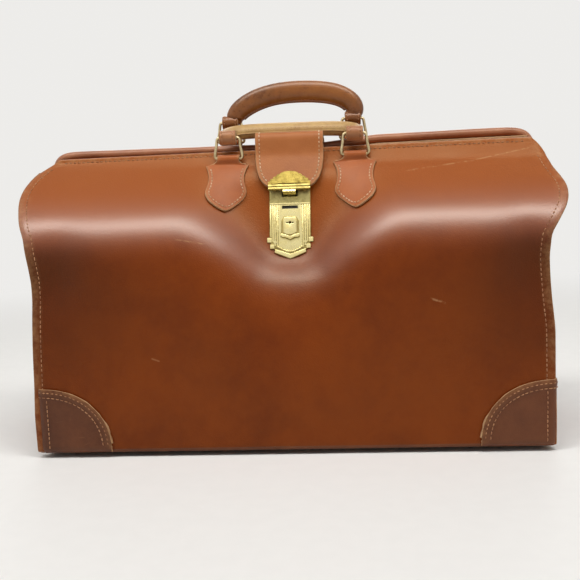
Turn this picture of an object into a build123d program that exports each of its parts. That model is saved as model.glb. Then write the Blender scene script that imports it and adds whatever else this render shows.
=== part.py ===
from build123d import *
import os
from math import cos, hypot, pi, sin, tan, radians

os.makedirs("parts", exist_ok=True)

# Millimetres. X runs along the bag, the front faces -Y, and the studs stand on Z = 0.

# Lower body
base_half_length = 233.0
wall_depth = 104.0
wall_bulge = 0.3
leather = 3.0
stud_height = 5.0
board_thickness = 3.0
fit = 0.3
wall_top = 183.0
gusset_top = 104.0
lining_thickness = 1.2
lining_drop = 2.0
fold_top_rise = 60.0
fold_gap = 0.8
notch_rise = 18.0
notch_ledge = 8.0

# Corner patches
patch_length = 70.0
patch_height = 61.0
patch_wrap = 46.0
patch_thickness = 2.0

# Studs
stud_radius = 6.5
stud_foot_radius = 4.0
prong_width = 3.4
prong_thickness = 1.2
prong_slit = 0.1
stud_inset = 28.0

# Mouth
hinge_rise = 7.0
hinge_height = wall_top + hinge_rise
rim_rise = 87.0
rim_top = hinge_height + rim_rise
rim_inset = 4.0
rim_half_length = base_half_length - rim_inset
ear_reach = 20.5
ear_half_length = base_half_length + ear_reach
mouth_gap = 0.4
frame_inset = 4.0
frame_depth = 10.0
frame_clear = 1.6
rim_face = mouth_gap + frame_inset + frame_depth + frame_clear + leather
flange = 2.8
frame_height = 12.0
frame_bottom = rim_top - flange - fit - frame_height + 0.1
frame_corner = 11.0
leg_thickness = 2.5
leg_eye_radius = 7.0
pin_radius = 2.5
pin_fit = 0.05
pin_head_radius = 4.5
pin_head_thickness = 1.7
roll_radius = 4.8
roll_overhang = 11.0
roll_corner = 10.0
roll_drop = 19.0

# Dent behind the lock
dent_flat = 24.0
dent_reach = 112.0
slope_steps = 4
rear_dent = 0.15
lock_height = hinge_height + 20.5
lock_depth = 52.5
lock_lean = 19.92

# Lock
plate_half_width = 19.5
plate_up = 37.0
plate_down = 36.5
plate_thickness = 1.8
slot_half_width = 7.5
catch_slot_half_height = 3.0
spare_slot_height = 14.0
spare_slot_half_height = 1.5
slider_height = -7.0
slider_half_width = 9.2
slider_half_length = 11.5
slider_thickness = 2.6
slider_travel = 5.0
shank_half_width = 3.0
shank_half_length = 4.5
case_half_width = 17.0
case_up = 33.0
case_down = 27.0
case_depth = 12.0
case_wall = 1.0
case_cheek = 5.5
rivet_radius = 1.5
rivet_hold = 4.0
rivet_proud = 0.5

# Chapes, rings and handles
carrier_spacing = 62.0
chape_thickness = 2.6
chape_neck = 10.0
chape_length = 43.0
ring_wire = 1.5
ring_side_clear = 1.0
ring_foot_half = chape_neck + ring_wire + ring_side_clear
ring_head_half = 10.5
ring_rise = 20.0
ring_bend = 2.2
ring_play = 0.25
front_ring_depth = 27.0
rear_ring_depth = 22.5
rear_ring_rise = 12.0
drum_radius = 7.7
drum_half_length = 7.0
grip_rise = 30.5
grip_half_height = 10.5
grip_half_thickness = 6.7
arm_half_height = 7.8
arm_half_thickness = 6.2
grip_clear = 1.3
grip_shoulder = 22.0
arm_bow = 4.5
arm_rise = 16.0
front_handle_lean = 13.5
grip_stations = 14
grip_sides = 14

# Lock tab
tab_half_width = 33.0
tab_thickness = 3.2
fold_depth = 22.0
fold_drop = 1.3
tab_length = 53.5
tab_foot_up = 30.0
tab_stand = 6.6
hasp_half_width = 20.0
hasp_top = 35.0
hasp_bottom = 55.0
hasp_thickness = 2.0
catch_half_width = 6.0
catch_thickness = 2.2
catch_depth = 9.0

# Stations along X for everything that follows the skin of the mouth: close in the dent's two
# slopes, and none where the leather is straight
slope_stations = [
    dent_flat + (dent_reach - dent_flat) * step / slope_steps for step in range(slope_steps + 1)
]
half_stations = slope_stations + [ear_half_length + 2.5]
stations = [-x for x in reversed(half_stations)] + half_stations

# Heights that several pieces share
roll_height = rim_top + roll_radius + 0.2
strap_top = roll_height + roll_radius + tab_thickness / 2 + fit
fold_height = strap_top - fold_drop
front_ring_height = (
    strap_top
    + tab_thickness / 2
    + grip_clear
    + grip_half_thickness / cos(radians(front_handle_lean))
    - front_ring_depth * tan(radians(front_handle_lean))
    - ring_rise
)
rear_ring_height = rim_top + rear_ring_rise


def lerp(a, b, share):
    return tuple(p + (q - p) * share for p, q in zip(a, b))


def dent_at(x):
    # 1 behind the lock, easing to 0 where the panel stands full
    t = min(max((abs(x) - dent_flat) / (dent_reach - dent_flat), 0), 1)
    return 0.5 + 0.5 * cos(pi * t)


def lock_line(z):
    # depth of the leather behind the lock plate at a height
    return lock_depth + (lock_height - z) * tan(radians(lock_lean))


def direction(a, b):
    length = hypot(b[0] - a[0], b[1] - a[1])
    return ((b[0] - a[0]) / length, (b[1] - a[1]) / length)


def lifted(points, lift):
    # a line of (depth, height) points moved sideways by the same distance all along
    ways = [direction(a, b) for a, b in zip(points, points[1:])]
    moved = []
    for point, before, after in zip(points, ways[:1] + ways, ways + ways[-1:]):
        way = direction((0, 0), (before[0] + after[0], before[1] + after[1]))
        reach = lift / (way[0] * before[0] + way[1] * before[1])
        moved.append((point[0] - way[1] * reach, point[1] + way[0] * reach))
    return moved


def panel_line(dent):
    # (depth, height) of the mouth panel's outer face, from the rim down to its tucked edge
    full = [
        (rim_face, rim_top),
        (rim_face + 4, frame_bottom),
        (rim_face + 23, frame_bottom - 12),
        (wall_depth - 24, hinge_height + 35),
        (wall_depth - 5, hinge_height + 10),
        (wall_depth - leather - 0.7, wall_top + 1),
    ]
    tip = lock_height - 28.5
    head = lock_height + 44.2
    dented = [
        (rim_face, rim_top),
        (rim_face + 5, frame_bottom + 2),
        (lock_line(head), head),
        (lock_line(tip), tip),
        (lock_line(tip) + 3.0, tip - 8.5),
        (lock_line(tip) + 6.8, tip - 16.0),
    ]
    return [lerp(f, d, dent) for f, d in zip(full, dented)]


def wall_line(dent):
    # (depth, height) of the lower wall's outer face, from the base up to its top edge
    foot = stud_height + leather
    edge = wall_top - 15.0
    full = [
        (wall_depth, foot),
        (wall_depth, 105.0),
        (wall_depth + wall_bulge, 150.0),
        (wall_depth - wall_bulge / 3, wall_top),
    ]
    dented = [
        (wall_depth, foot),
        (wall_depth, 105.0),
        (wall_depth - 5, 144.0),
        (lock_line(edge + 14.0) + 14.5, edge),
    ]
    return [lerp(f, d, dent) for f, d in zip(full, dented)]


def sheet_along(side, share, line, inner, outer):
    # a sheet between two lifts off a line that changes with the dent along the bag
    with BuildPart() as skin:
        for x in stations:
            points = line(dent_at(x) * share)
            section = lifted(points, outer) + lifted(points, inner)[::-1]
            with BuildSketch(Plane.YZ.offset(x)):
                with BuildLine():
                    Polyline([(side * depth, height) for depth, height in section], close=True)
                make_face()
        loft(ruled=True)
    return skin.part


def inner_depth(height):
    # depth of the undented skin's inner face at a height
    inner = lifted(panel_line(0), -leather)
    for (d0, z0), (d1, z1) in zip(inner, inner[1:]):
        if z1 <= height <= z0:
            return d1 + (d0 - d1) * (height - z1) / (z0 - z1)
    return wall_depth - leather


def side_outline(low, high):
    # the panels seen from the front, with the ears where they meet the ends
    with BuildSketch(Plane.XZ) as outline:
        with BuildLine():
            Polyline(
                (0, high),
                (rim_half_length, high),
                (rim_half_length, rim_top - 10),
                (rim_half_length + 11, rim_top - 20),
                (ear_half_length - 3.5, rim_top - 31),
                (ear_half_length, hinge_height + 44),
                (ear_half_length - 2.5, hinge_height + 31),
                (ear_half_length - 6.5, hinge_height + 17),
                (base_half_length + 7, hinge_height - 3),
                (base_half_length + 1.2, 150.0),
                (base_half_length, 110.0),
                (base_half_length, low),
                (0, low),
            )
            mirror(about=Plane.YZ)
        make_face()
    return outline.sketch


body_outline = side_outline(0, rim_top + 20)

# Lower body

stud_grid = (base_half_length - stud_inset, 2 * (wall_depth - stud_inset), 3, 2)
stud_slit = (prong_width + 2 * prong_slit, prong_thickness + 2 * prong_slit)
with BuildPart() as base_panel:
    with BuildSketch(Plane.XY.offset(stud_height)):
        Rectangle(2 * base_half_length, 2 * wall_depth)
        with GridLocations(*stud_grid):
            Rectangle(*stud_slit, mode=Mode.SUBTRACT)
    extrude(amount=leather)
base_panel.part.label = "base_panel"
export_step(base_panel.part, "parts/base_panel.step")

board_bottom = stud_height + leather + fit
with BuildPart() as base_board:
    with BuildSketch(Plane.XY.offset(board_bottom)):
        Rectangle(
            2 * (base_half_length - leather - fit), 2 * (wall_depth - leather - fit)
        )
        with GridLocations(*stud_grid):
            Rectangle(*stud_slit, mode=Mode.SUBTRACT)
    extrude(amount=board_thickness)
base_board.part.label = "base_board"
export_step(base_board.part, "parts/base_board.step")

board_top = board_bottom + board_thickness
with BuildPart() as stud:
    # a low turned dome with a flat prong that goes up through leather and board
    with BuildSketch(Plane.XZ):
        with BuildLine():
            Polyline(
                (0, 0), (stud_foot_radius, 0), (stud_radius - 0.5, 0.36 * stud_height),
                (stud_radius, stud_height), (0, stud_height), close=True,
            )
        make_face()
    revolve(axis=Axis.Z)
    with BuildSketch(Plane.XY.offset(stud_height)):
        Rectangle(prong_width, prong_thickness)
    extrude(amount=board_top - stud_height)
with BuildPart() as base_studs:
    with GridLocations(*stud_grid):
        add(stud.part)
base_studs.part.label = "base_studs"
export_step(base_studs.part, "parts/base_studs.step")

for name, side, share in (("front", -1, 1), ("rear", 1, rear_dent)):
    lower_skin = sheet_along(side, share, wall_line, leather, 0)
    with BuildPart() as wall:
        add(lower_skin)
        with BuildSketch(Plane.XZ):
            add(body_outline)
        extrude(amount=2 * wall_depth, both=True, mode=Mode.INTERSECT)
    wall.part.label = f"{name}_panel"
    export_step(wall.part, f"parts/{name}_panel.step")

gusset_half_depth = wall_depth - leather - fit
for name, side in (("left", -1), ("right", 1)):
    with BuildPart() as gusset:
        with BuildSketch(Plane.YZ.offset(side * base_half_length)):
            with Locations((0, (stud_height + leather + gusset_top) / 2)):
                Rectangle(2 * gusset_half_depth, gusset_top - stud_height - leather)
        extrude(amount=-side * leather)
    gusset.part.label = f"{name}_gusset"
    export_step(gusset.part, f"parts/{name}_gusset.step")

# Upper part of each end: one soft sheet that bows out over the hinge and narrows to the rim, with
# a notch in its top edge, so that it can spread when the mouth opens
fold_levels = [
    # height, distance out at the seams, distance out in the middle
    (gusset_top + fit, base_half_length - leather, base_half_length - leather + 0.6),
    (160.0, base_half_length - 1.0, base_half_length + 2.0),
    (hinge_height, base_half_length + 1.0, base_half_length + 7.5),
    (hinge_height + 26, ear_half_length - 11, base_half_length + 10),
    (hinge_height + 46, ear_half_length - 9, base_half_length + 12),
    (hinge_height + fold_top_rise, ear_half_length - 11, base_half_length + 13),
]
notch_half = inner_depth(hinge_height + fold_top_rise) - fold_gap - notch_ledge
for name, side in (("left", -1), ("right", 1)):
    with BuildPart() as gusset_fold:
        for height, seam, middle in fold_levels:
            half_depth = inner_depth(height) - fold_gap
            bow = [(seam, -half_depth), (lerp((seam,), (middle,), 0.75)[0], -half_depth / 2)]
            bow += [(middle, 0)] + [(x, -y) for x, y in bow[::-1]]
            with BuildSketch(Plane.XY.offset(height)):
                with BuildLine():
                    Polyline(
                        [(side * x, y) for x, y in bow]
                        + [(side * (x + leather), y) for x, y in bow[::-1]],
                        close=True,
                    )
                make_face()
        loft(ruled=True)
        with BuildSketch(Plane.YZ.offset(side * (base_half_length - leather))):
            with BuildLine():
                Polyline(
                    (-notch_half, hinge_height + fold_top_rise),
                    (0, hinge_height + notch_rise),
                    (notch_half, hinge_height + fold_top_rise),
                    close=True,
                )
            make_face()
        extrude(amount=side * ear_reach, mode=Mode.SUBTRACT)
    gusset_fold.part.label = f"{name}_gusset_fold"
    export_step(gusset_fold.part, f"parts/{name}_gusset_fold.step")

lining_half_length = base_half_length - leather - fit
lining_half_depth = wall_depth - leather - fit
with BuildPart() as lining:
    with BuildSketch(Plane.XY.offset(board_top + fit)):
        Rectangle(2 * lining_half_length, 2 * lining_half_depth)
    extrude(amount=gusset_top - lining_drop - board_top - fit)
    offset(amount=-lining_thickness, openings=lining.faces().sort_by(Axis.Z)[-1])
lining.part.label = "lining"
export_step(lining.part, "parts/lining.step")

# Corner patches: a quarter-round leaf on the wall that wraps round the end
for end_name, end in (("left", -1), ("right", 1)):
    for name, side in (("front", -1), ("rear", 1)):
        patch_face = wall_depth + fit
        patch_end = base_half_length + fit
        patch_foot = stud_height
        with BuildPart() as patch:
            with BuildSketch(Plane.XZ.offset(-side * (patch_face + patch_thickness))):
                with BuildLine():
                    reach = end * (patch_end + patch_thickness - patch_length)
                    edge = end * (patch_end + patch_thickness)
                    Line((edge, patch_foot), (reach, patch_foot))
                    Spline(
                        (reach, patch_foot),
                        (reach + end * 0.09 * patch_length, patch_foot + 0.44 * patch_height),
                        (reach + end * 0.46 * patch_length, patch_foot + 0.87 * patch_height),
                        (edge, patch_foot + patch_height),
                        tangents=((end * 0.1, 1), (end * 1, 0.06)),
                    )
                    Line((edge, patch_foot + patch_height), (edge, patch_foot))
                make_face()
            extrude(amount=side * patch_thickness)
            with BuildSketch(Plane.YZ.offset(end * (patch_end + patch_thickness))):
                with BuildLine():
                    near = side * (patch_face + patch_thickness)
                    far = side * (patch_face + patch_thickness - patch_wrap)
                    Line((near, patch_foot), (far, patch_foot))
                    ThreePointArc(
                        (far, patch_foot),
                        (lerp((far,), (near,), 0.3)[0], patch_foot + 0.7 * patch_height),
                        (near, patch_foot + patch_height),
                    )
                    Line((near, patch_foot + patch_height), (near, patch_foot))
                make_face()
            extrude(amount=-end * patch_thickness)
        patch.part.label = f"{name}_{end_name}_patch"
        export_step(patch.part, f"parts/{name}_{end_name}_patch.step")

# Frames, hinge pins and mouth panels

front_leg_out = base_half_length - 2.0
rear_leg_out = front_leg_out + leg_thickness + fit
pin_in = front_leg_out - leg_thickness - fit
pin_out = rear_leg_out + fit
for name, side, leg_out in (("front", -1, front_leg_out), ("rear", 1, rear_leg_out)):
    near = mouth_gap + frame_inset
    with BuildPart() as frame:
        with BuildSketch(Plane.XZ.offset(-side * near)):
            with BuildLine():
                FilletPolyline(
                    (-leg_out, frame_bottom),
                    (-leg_out, rim_top - flange - fit),
                    (leg_out, rim_top - flange - fit),
                    (leg_out, frame_bottom),
                    radius=frame_corner,
                )
                Line((leg_out, frame_bottom), (-leg_out, frame_bottom))
            make_face()
        extrude(amount=-side * frame_depth)
        for end in (-1, 1):
            with BuildSketch(Plane.YZ.offset(end * leg_out)):
                with BuildLine():
                    CenterArc((0, hinge_height), leg_eye_radius, 0, 360)
                    Line(
                        (side * near, frame_bottom + 1),
                        (side * (near + frame_depth), frame_bottom + 1),
                    )
                make_hull()
                with Locations((0, hinge_height)):
                    Circle(pin_radius + pin_fit, mode=Mode.SUBTRACT)
            extrude(amount=-end * leg_thickness)
    frame.part.label = f"{name}_frame"
    export_step(frame.part, f"parts/{name}_frame.step")

with BuildPart() as hinge_pins:
    for end in (-1, 1):
        for start, stop, radius in (
            (pin_in - pin_head_thickness, pin_in, pin_head_radius),
            (pin_in, pin_out, pin_radius),
            (pin_out, pin_out + pin_head_thickness, pin_head_radius),
        ):
            with BuildSketch(Plane.YZ.offset(end * start)):
                with Locations((0, hinge_height)):
                    Circle(radius)
            extrude(amount=end * (stop - start))
hinge_pins.part.label = "hinge_pins"
export_step(hinge_pins.part, "parts/hinge_pins.step")

# Lock plane: x along the bag, y up the dented slope, z out of the leather
lock_plane = Plane(
    origin=(0, -lock_depth, lock_height),
    x_dir=(1, 0, 0),
    z_dir=(0, -cos(radians(lock_lean)), sin(radians(lock_lean))),
)
rivet_across = case_half_width - case_cheek / 2
rivet_places = [(x, y) for x in (-rivet_across, rivet_across) for y in (-20.0, 31.0)]

# Flap of the lock tab: it hangs straight from its fold to just above the lock plate
fold_point = Vector(0, -fold_depth, fold_height)
flap_way = (lock_plane.from_local_coords((0, tab_foot_up, tab_stand)) - fold_point).normalized()
flap_plane = Plane(origin=fold_point, x_dir=(1, 0, 0), z_dir=(0, flap_way.Z, -flap_way.Y))
catch_reach = hasp_bottom + catch_thickness / 2
catch_slot_height = lock_plane.to_local_coords(fold_point + flap_way * catch_reach).Y

for name, side, share in (("front", -1, 1), ("rear", 1, rear_dent)):
    upper_skin = sheet_along(side, share, panel_line, -leather, 0)
    with BuildPart() as panel_top:
        add(upper_skin)
        with BuildSketch(Plane.XZ):
            add(body_outline)
        extrude(amount=2 * wall_depth, both=True, mode=Mode.INTERSECT)
        with BuildSketch(Plane.YZ.offset(-rim_half_length)):
            with BuildLine():
                Polyline(
                    (side * mouth_gap, rim_top),
                    (side * (rim_face - 0.5), rim_top),
                    (side * (rim_face - 0.5), rim_top - flange),
                    (side * mouth_gap, rim_top - flange),
                    close=True,
                )
            make_face()
        extrude(amount=2 * rim_half_length)
        if name == "front":
            with BuildSketch(lock_plane.offset(1)):
                with Locations((0, catch_slot_height)):
                    Rectangle(2 * slot_half_width + 1, 2 * catch_slot_half_height + 1)
                with Locations((0, slider_height - slider_travel / 2)):
                    Rectangle(
                        2 * (shank_half_width + 1),
                        2 * (shank_half_length + 1) + slider_travel,
                    )
                with Locations(*rivet_places):
                    Circle(rivet_radius + 0.1)
            extrude(amount=-6, mode=Mode.SUBTRACT)
    panel_top.part.label = f"{name}_panel_top"
    export_step(panel_top.part, f"parts/{name}_panel_top.step")

# Piping that is rolled over the rear rim and down its two corners
roll_depth = mouth_gap + frame_inset + frame_depth / 4
roll_half_length = rim_half_length + roll_overhang
roll_end_height = rim_top - roll_drop
with BuildPart() as rim_roll:
    with BuildLine(Plane.XZ.offset(-roll_depth)) as roll_path:
        Polyline(
            (-roll_half_length, roll_end_height),
            (-roll_half_length, roll_height - roll_corner),
            (-roll_half_length + 0.3 * roll_corner, roll_height - 0.3 * roll_corner),
            (-roll_half_length + roll_corner, roll_height),
            (roll_half_length - roll_corner, roll_height),
            (roll_half_length - 0.3 * roll_corner, roll_height - 0.3 * roll_corner),
            (roll_half_length, roll_height - roll_corner),
            (roll_half_length, roll_end_height),
        )
    with BuildSketch(Plane(origin=roll_path.line @ 0, z_dir=roll_path.line % 0)):
        Circle(roll_radius)
    sweep(transition=Transition.RIGHT)
rim_roll.part.label = "rear_rim_roll"
export_step(rim_roll.part, "parts/rear_rim_roll.step")

# Lock

with BuildPart() as lock_plate:
    with BuildSketch(lock_plane.offset(fit)):
        with BuildLine():
            w = plate_half_width
            foot = -plate_down
            Polyline(
                (0, plate_up), (w, plate_up), (w, foot + 21), (w + 2.4, foot + 21),
                (w + 2.4, foot + 16), (w - 1.4, foot + 16), (w - 1.4, foot + 14.5),
                (w - 0.4, foot + 14.5), (w - 0.4, foot + 9.5), (w - 4.6, foot + 9.5),
                (w - 5.6, foot + 7.9), (w - 4.0, foot + 6.3), (0, foot),
            )
            mirror(about=Plane.YZ)
        make_face()
        with Locations((0, catch_slot_height)):
            Rectangle(2 * slot_half_width, 2 * catch_slot_half_height, mode=Mode.SUBTRACT)
        with Locations((0, spare_slot_height)):
            Rectangle(2 * slot_half_width, 2 * spare_slot_half_height, mode=Mode.SUBTRACT)
        with Locations((0, slider_height - slider_travel / 2)):
            Rectangle(
                2 * (shank_half_width + fit),
                2 * (shank_half_length + fit) + slider_travel,
                mode=Mode.SUBTRACT,
            )
        with Locations(*rivet_places):
            Circle(rivet_radius + 0.1, mode=Mode.SUBTRACT)
    extrude(amount=plate_thickness)
    # fluted beads down both edges, and the thick foot below them
    with BuildSketch(lock_plane.offset(fit + plate_thickness)):
        for end in (-1, 1):
            for inset, bottom in ((0.9, foot + 21), (2.9, foot + 16)):
                with Locations((end * (w - inset), (plate_up - 20 + bottom) / 2)):
                    Rectangle(1.2, plate_up - 20 - bottom)
        with BuildLine():
            Polyline(
                (0, foot + 5), (w - 5.2, foot + 10.7), (w - 5.2, foot + 8.9),
                (w - 4.6, foot + 6.3), (0, foot), (4.6 - w, foot + 6.3),
                (5.2 - w, foot + 8.9), (5.2 - w, foot + 10.7), close=True,
            )
        make_face()
    extrude(amount=0.7)
lock_plate.part.label = "lock_plate"
export_step(lock_plate.part, "parts/lock_plate.step")

case_top = -leather - fit
with BuildPart() as lock_case:
    with BuildSketch(lock_plane.offset(case_top)):
        with Locations((0, (case_up - case_down) / 2)):
            Rectangle(2 * case_half_width, case_up + case_down)
    extrude(amount=-case_depth)
    with BuildSketch(lock_plane.offset(case_top - case_wall)):
        with Locations((0, (case_up - case_down) / 2)):
            Rectangle(2 * (case_half_width - case_cheek), case_up + case_down - 2 * case_wall - 2)
    extrude(amount=-(case_depth - 2 * case_wall), mode=Mode.SUBTRACT)
    with BuildSketch(lock_plane.offset(case_top)):
        with Locations((0, catch_slot_height)):
            Rectangle(2 * slot_half_width, 2 * catch_slot_half_height + 1)
        with Locations((0, slider_height - slider_travel / 2)):
            Rectangle(
                2 * (shank_half_width + fit), 2 * (shank_half_length + fit) + slider_travel
            )
        with Locations(*rivet_places):
            Circle(rivet_radius + 0.05)
    extrude(amount=-case_wall, mode=Mode.SUBTRACT)
    with BuildSketch(lock_plane.offset(case_top - case_wall)):
        with Locations(*rivet_places):
            Circle(rivet_radius + 0.05)
    extrude(amount=-rivet_hold, mode=Mode.SUBTRACT)
lock_case.part.label = "lock_case"
export_step(lock_case.part, "parts/lock_case.step")

with BuildPart() as lock_rivets:
    with BuildSketch(lock_plane.offset(case_top - rivet_hold)):
        with Locations(*rivet_places):
            Circle(rivet_radius)
    extrude(amount=rivet_hold - case_top + fit + plate_thickness + rivet_proud)
lock_rivets.part.label = "lock_rivets"
export_step(lock_rivets.part, "parts/lock_rivets.step")

slider_seat = fit + plate_thickness + fit
bolt_front = case_top - case_wall - 3.0
with BuildPart() as lock_slider:
    with BuildSketch(lock_plane.offset(slider_seat)):
        with BuildLine():
            a, b = slider_half_width, slider_half_length
            Polyline(
                (0, slider_height + b), (a - 3.6, slider_height + b),
                (a - 0.8, slider_height + b - 4.6), (a - 0.8, slider_height - b + 7.4),
                (a, slider_height - b + 5.6), (a, slider_height - b + 2.4),
                (0, slider_height - b),
            )
            mirror(about=Plane.YZ)
        make_face()
    extrude(amount=slider_thickness - 1)
    with BuildSketch(lock_plane.offset(slider_seat + slider_thickness - 1)):
        with BuildLine():
            Polyline(
                (0, slider_height + b - 0.8), (a - 3.6, slider_height + b - 0.8),
                (a - 3.6, slider_height - b + 5.8), (0, slider_height - b + 3.4),
            )
            mirror(about=Plane.YZ)
        make_face()
        with Locations((0, slider_height + b - 6.4)):
            Rectangle(7.6, 1.0, mode=Mode.SUBTRACT)
            Circle(1.1, mode=Mode.SUBTRACT)
    extrude(amount=1)
    with BuildSketch(lock_plane.offset(slider_seat)):
        with Locations((0, slider_height)):
            Rectangle(2 * shank_half_width, 2 * shank_half_length)
    extrude(amount=bolt_front - slider_seat)
lock_slider.part.label = "lock_slider"
export_step(lock_slider.part, "parts/lock_slider.step")

bolt_top = catch_slot_height - catch_slot_half_height - 1.0
bolt_bottom = slider_height - shank_half_length
with BuildPart() as lock_bolt:
    with BuildSketch(lock_plane.offset(bolt_front)):
        with Locations((0, (bolt_top + bolt_bottom) / 2)):
            Rectangle(2 * (shank_half_width + 3), bolt_top - bolt_bottom)
        with Locations((0, bolt_top - 2)):
            Rectangle(2 * (case_half_width - case_cheek - 0.8), 4)
    extrude(amount=-2)
lock_bolt.part.label = "lock_bolt"
export_step(lock_bolt.part, "parts/lock_bolt.step")

spring_foot = -case_down + case_wall + 1 + 0.2
with BuildPart() as lock_spring:
    with BuildSketch(
        Plane(
            origin=lock_plane.from_local_coords((0, spring_foot, bolt_front - 1)),
            x_dir=(1, 0, 0),
            z_dir=lock_plane.y_dir,
        )
    ):
        Circle(2.4)
        Circle(1.7, mode=Mode.SUBTRACT)
    extrude(amount=bolt_bottom - spring_foot - 0.2)
lock_spring.part.label = "lock_spring"
export_step(lock_spring.part, "parts/lock_spring.step")

# Carriers of the two handles: chape, ring, end loops and handle

ring_places = {
    "front": (-1, -front_ring_depth, front_ring_height),
    "rear": (1, rear_ring_depth, rear_ring_height),
}
for name, (side, ring_y, ring_z) in ring_places.items():
    share = 1 if side < 0 else rear_dent
    chape_skin = sheet_along(side, share, panel_line, fit, fit + chape_thickness)
    loop_radius = ring_wire + ring_play + 2.2
    for end_name, end in (("left", -1), ("right", 1)):
        middle = end * carrier_spacing
        with BuildPart() as chape:
            add(chape_skin)
            with BuildSketch(Plane.XZ):
                with Locations((middle, 0)):
                    with BuildSketch(mode=Mode.PRIVATE) as leaf:
                        with BuildLine():
                            top = frame_bottom + 1
                            waist = frame_bottom - 0.3 * chape_length
                            hip = frame_bottom - 0.58 * chape_length
                            tip = frame_bottom - chape_length
                            Polyline(
                                (0, rim_top - 6), (chape_neck, rim_top - 6),
                                (chape_neck, top + 3), (2.1 * chape_neck, top),
                                (2.1 * chape_neck, top - 2.5),
                            )
                            Spline(
                                (2.1 * chape_neck, top - 2.5), (1.76 * chape_neck, waist),
                                (2.02 * chape_neck, hip), (1.2 * chape_neck, tip + 7), (0, tip),
                            )
                            mirror(about=Plane.YZ)
                        make_face()
                    add(leaf.sketch)
            extrude(amount=2 * wall_depth, both=True, mode=Mode.INTERSECT)
            # the neck stands up to the ring, and the loop closes round the ring's foot
            with BuildSketch(Plane.YZ.offset(middle - chape_neck)):
                with BuildLine():
                    neck_foot = rim_face + 4 + fit
                    Polyline(
                        (ring_y - side * 1.5, ring_z),
                        (ring_y + side * 1.5, ring_z),
                        (side * (neck_foot + chape_thickness + 0.6), frame_bottom + 2.5),
                        (side * (neck_foot + 0.6), frame_bottom + 2.5),
                        close=True,
                    )
                make_face()
            extrude(amount=2 * chape_neck)
            with BuildSketch(Plane.YZ.offset(middle - chape_neck)):
                with Locations((ring_y, ring_z)):
                    Circle(loop_radius)
            extrude(amount=2 * chape_neck)
            with BuildSketch(Plane.YZ.offset(middle - chape_neck)):
                with Locations((ring_y, ring_z)):
                    Circle(ring_wire + ring_play)
            extrude(amount=2 * chape_neck, mode=Mode.SUBTRACT)
        chape.part.label = f"{name}_{end_name}_chape"
        export_step(chape.part, f"parts/{name}_{end_name}_chape.step")

        with BuildPart() as ring:
            with BuildLine(
                Plane(origin=(middle, ring_y, ring_z), x_dir=(1, 0, 0), z_dir=(0, -1, 0))
            ) as ring_path:
                Polyline(
                    (0, 0),
                    (ring_foot_half - ring_bend, 0),
                    (ring_foot_half, ring_bend),
                    (ring_head_half, ring_rise - ring_bend),
                    (ring_head_half - ring_bend, ring_rise),
                    (ring_bend - ring_head_half, ring_rise),
                    (-ring_head_half, ring_rise - ring_bend),
                    (-ring_foot_half, ring_bend),
                    (ring_bend - ring_foot_half, 0),
                    (0, 0),
                )
            start = ring_path.line
            with BuildSketch(Plane(origin=start @ 0, z_dir=start % 0)):
                Circle(ring_wire)
            sweep(path=start, transition=Transition.RIGHT)
        ring.part.label = f"{name}_{end_name}_ring"
        export_step(ring.part, f"parts/{name}_{end_name}_ring.step")

    # the front handle lies back over the rim and the rear one stands
    rise_angle = front_handle_lean if side < 0 else 90.0
    rise = (0, cos(radians(rise_angle)), sin(radians(rise_angle)))
    handle_plane = Plane(
        origin=(0, ring_y, ring_z + ring_rise),
        x_dir=(1, 0, 0),
        z_dir=(0, -rise[2], rise[1]),
    )
    with BuildPart() as handle:
        with BuildLine(handle_plane) as grip_path:
            FilletPolyline(
                (-carrier_spacing + 3, 5),
                (-carrier_spacing - arm_bow, arm_rise),
                (-carrier_spacing + grip_shoulder, grip_rise - 1),
                (0, grip_rise),
                (carrier_spacing - grip_shoulder, grip_rise - 1),
                (carrier_spacing + arm_bow, arm_rise),
                (carrier_spacing - 3, 5),
                radius=[9, 26, 400, 26, 9],
            )
        for step in range(grip_stations + 1):
            t = step / grip_stations
            swell = min(max((0.5 - abs(t - 0.5)) / 0.32, 0), 1)
            swell = swell * swell * (3 - 2 * swell)
            high = arm_half_height + (grip_half_height - arm_half_height) * swell
            thick = arm_half_thickness + (grip_half_thickness - arm_half_thickness) * swell
            turns = [2 * pi * corner / grip_sides for corner in range(grip_sides)]
            with BuildSketch(
                Plane(
                    origin=grip_path.line @ t,
                    x_dir=handle_plane.z_dir,
                    z_dir=grip_path.line % t,
                )
            ):
                with BuildLine():
                    Polyline([(thick * cos(a), high * sin(a)) for a in turns], close=True)
                make_face()
        loft(ruled=True)
        with BuildSketch(Plane.YZ):
            with Locations((ring_y, ring_z + ring_rise)):
                Circle(drum_radius + fit)
        extrude(amount=2 * carrier_spacing, both=True, mode=Mode.SUBTRACT)
    handle.part.label = f"{name}_handle"
    export_step(handle.part, f"parts/{name}_handle.step")

    with BuildPart() as loops:
        for end in (-1, 1):
            with BuildSketch(
                Plane.YZ.offset(end * carrier_spacing - drum_half_length)
            ):
                with Locations((ring_y, ring_z + ring_rise)):
                    Circle(drum_radius)
                    Circle(ring_wire + ring_play, mode=Mode.SUBTRACT)
            extrude(amount=2 * drum_half_length)
    loops.part.label = f"{name}_handle_loops"
    export_step(loops.part, f"parts/{name}_handle_loops.step")

# Lock tab: the strap over the rims, and the flap that hangs from its fold

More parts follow.
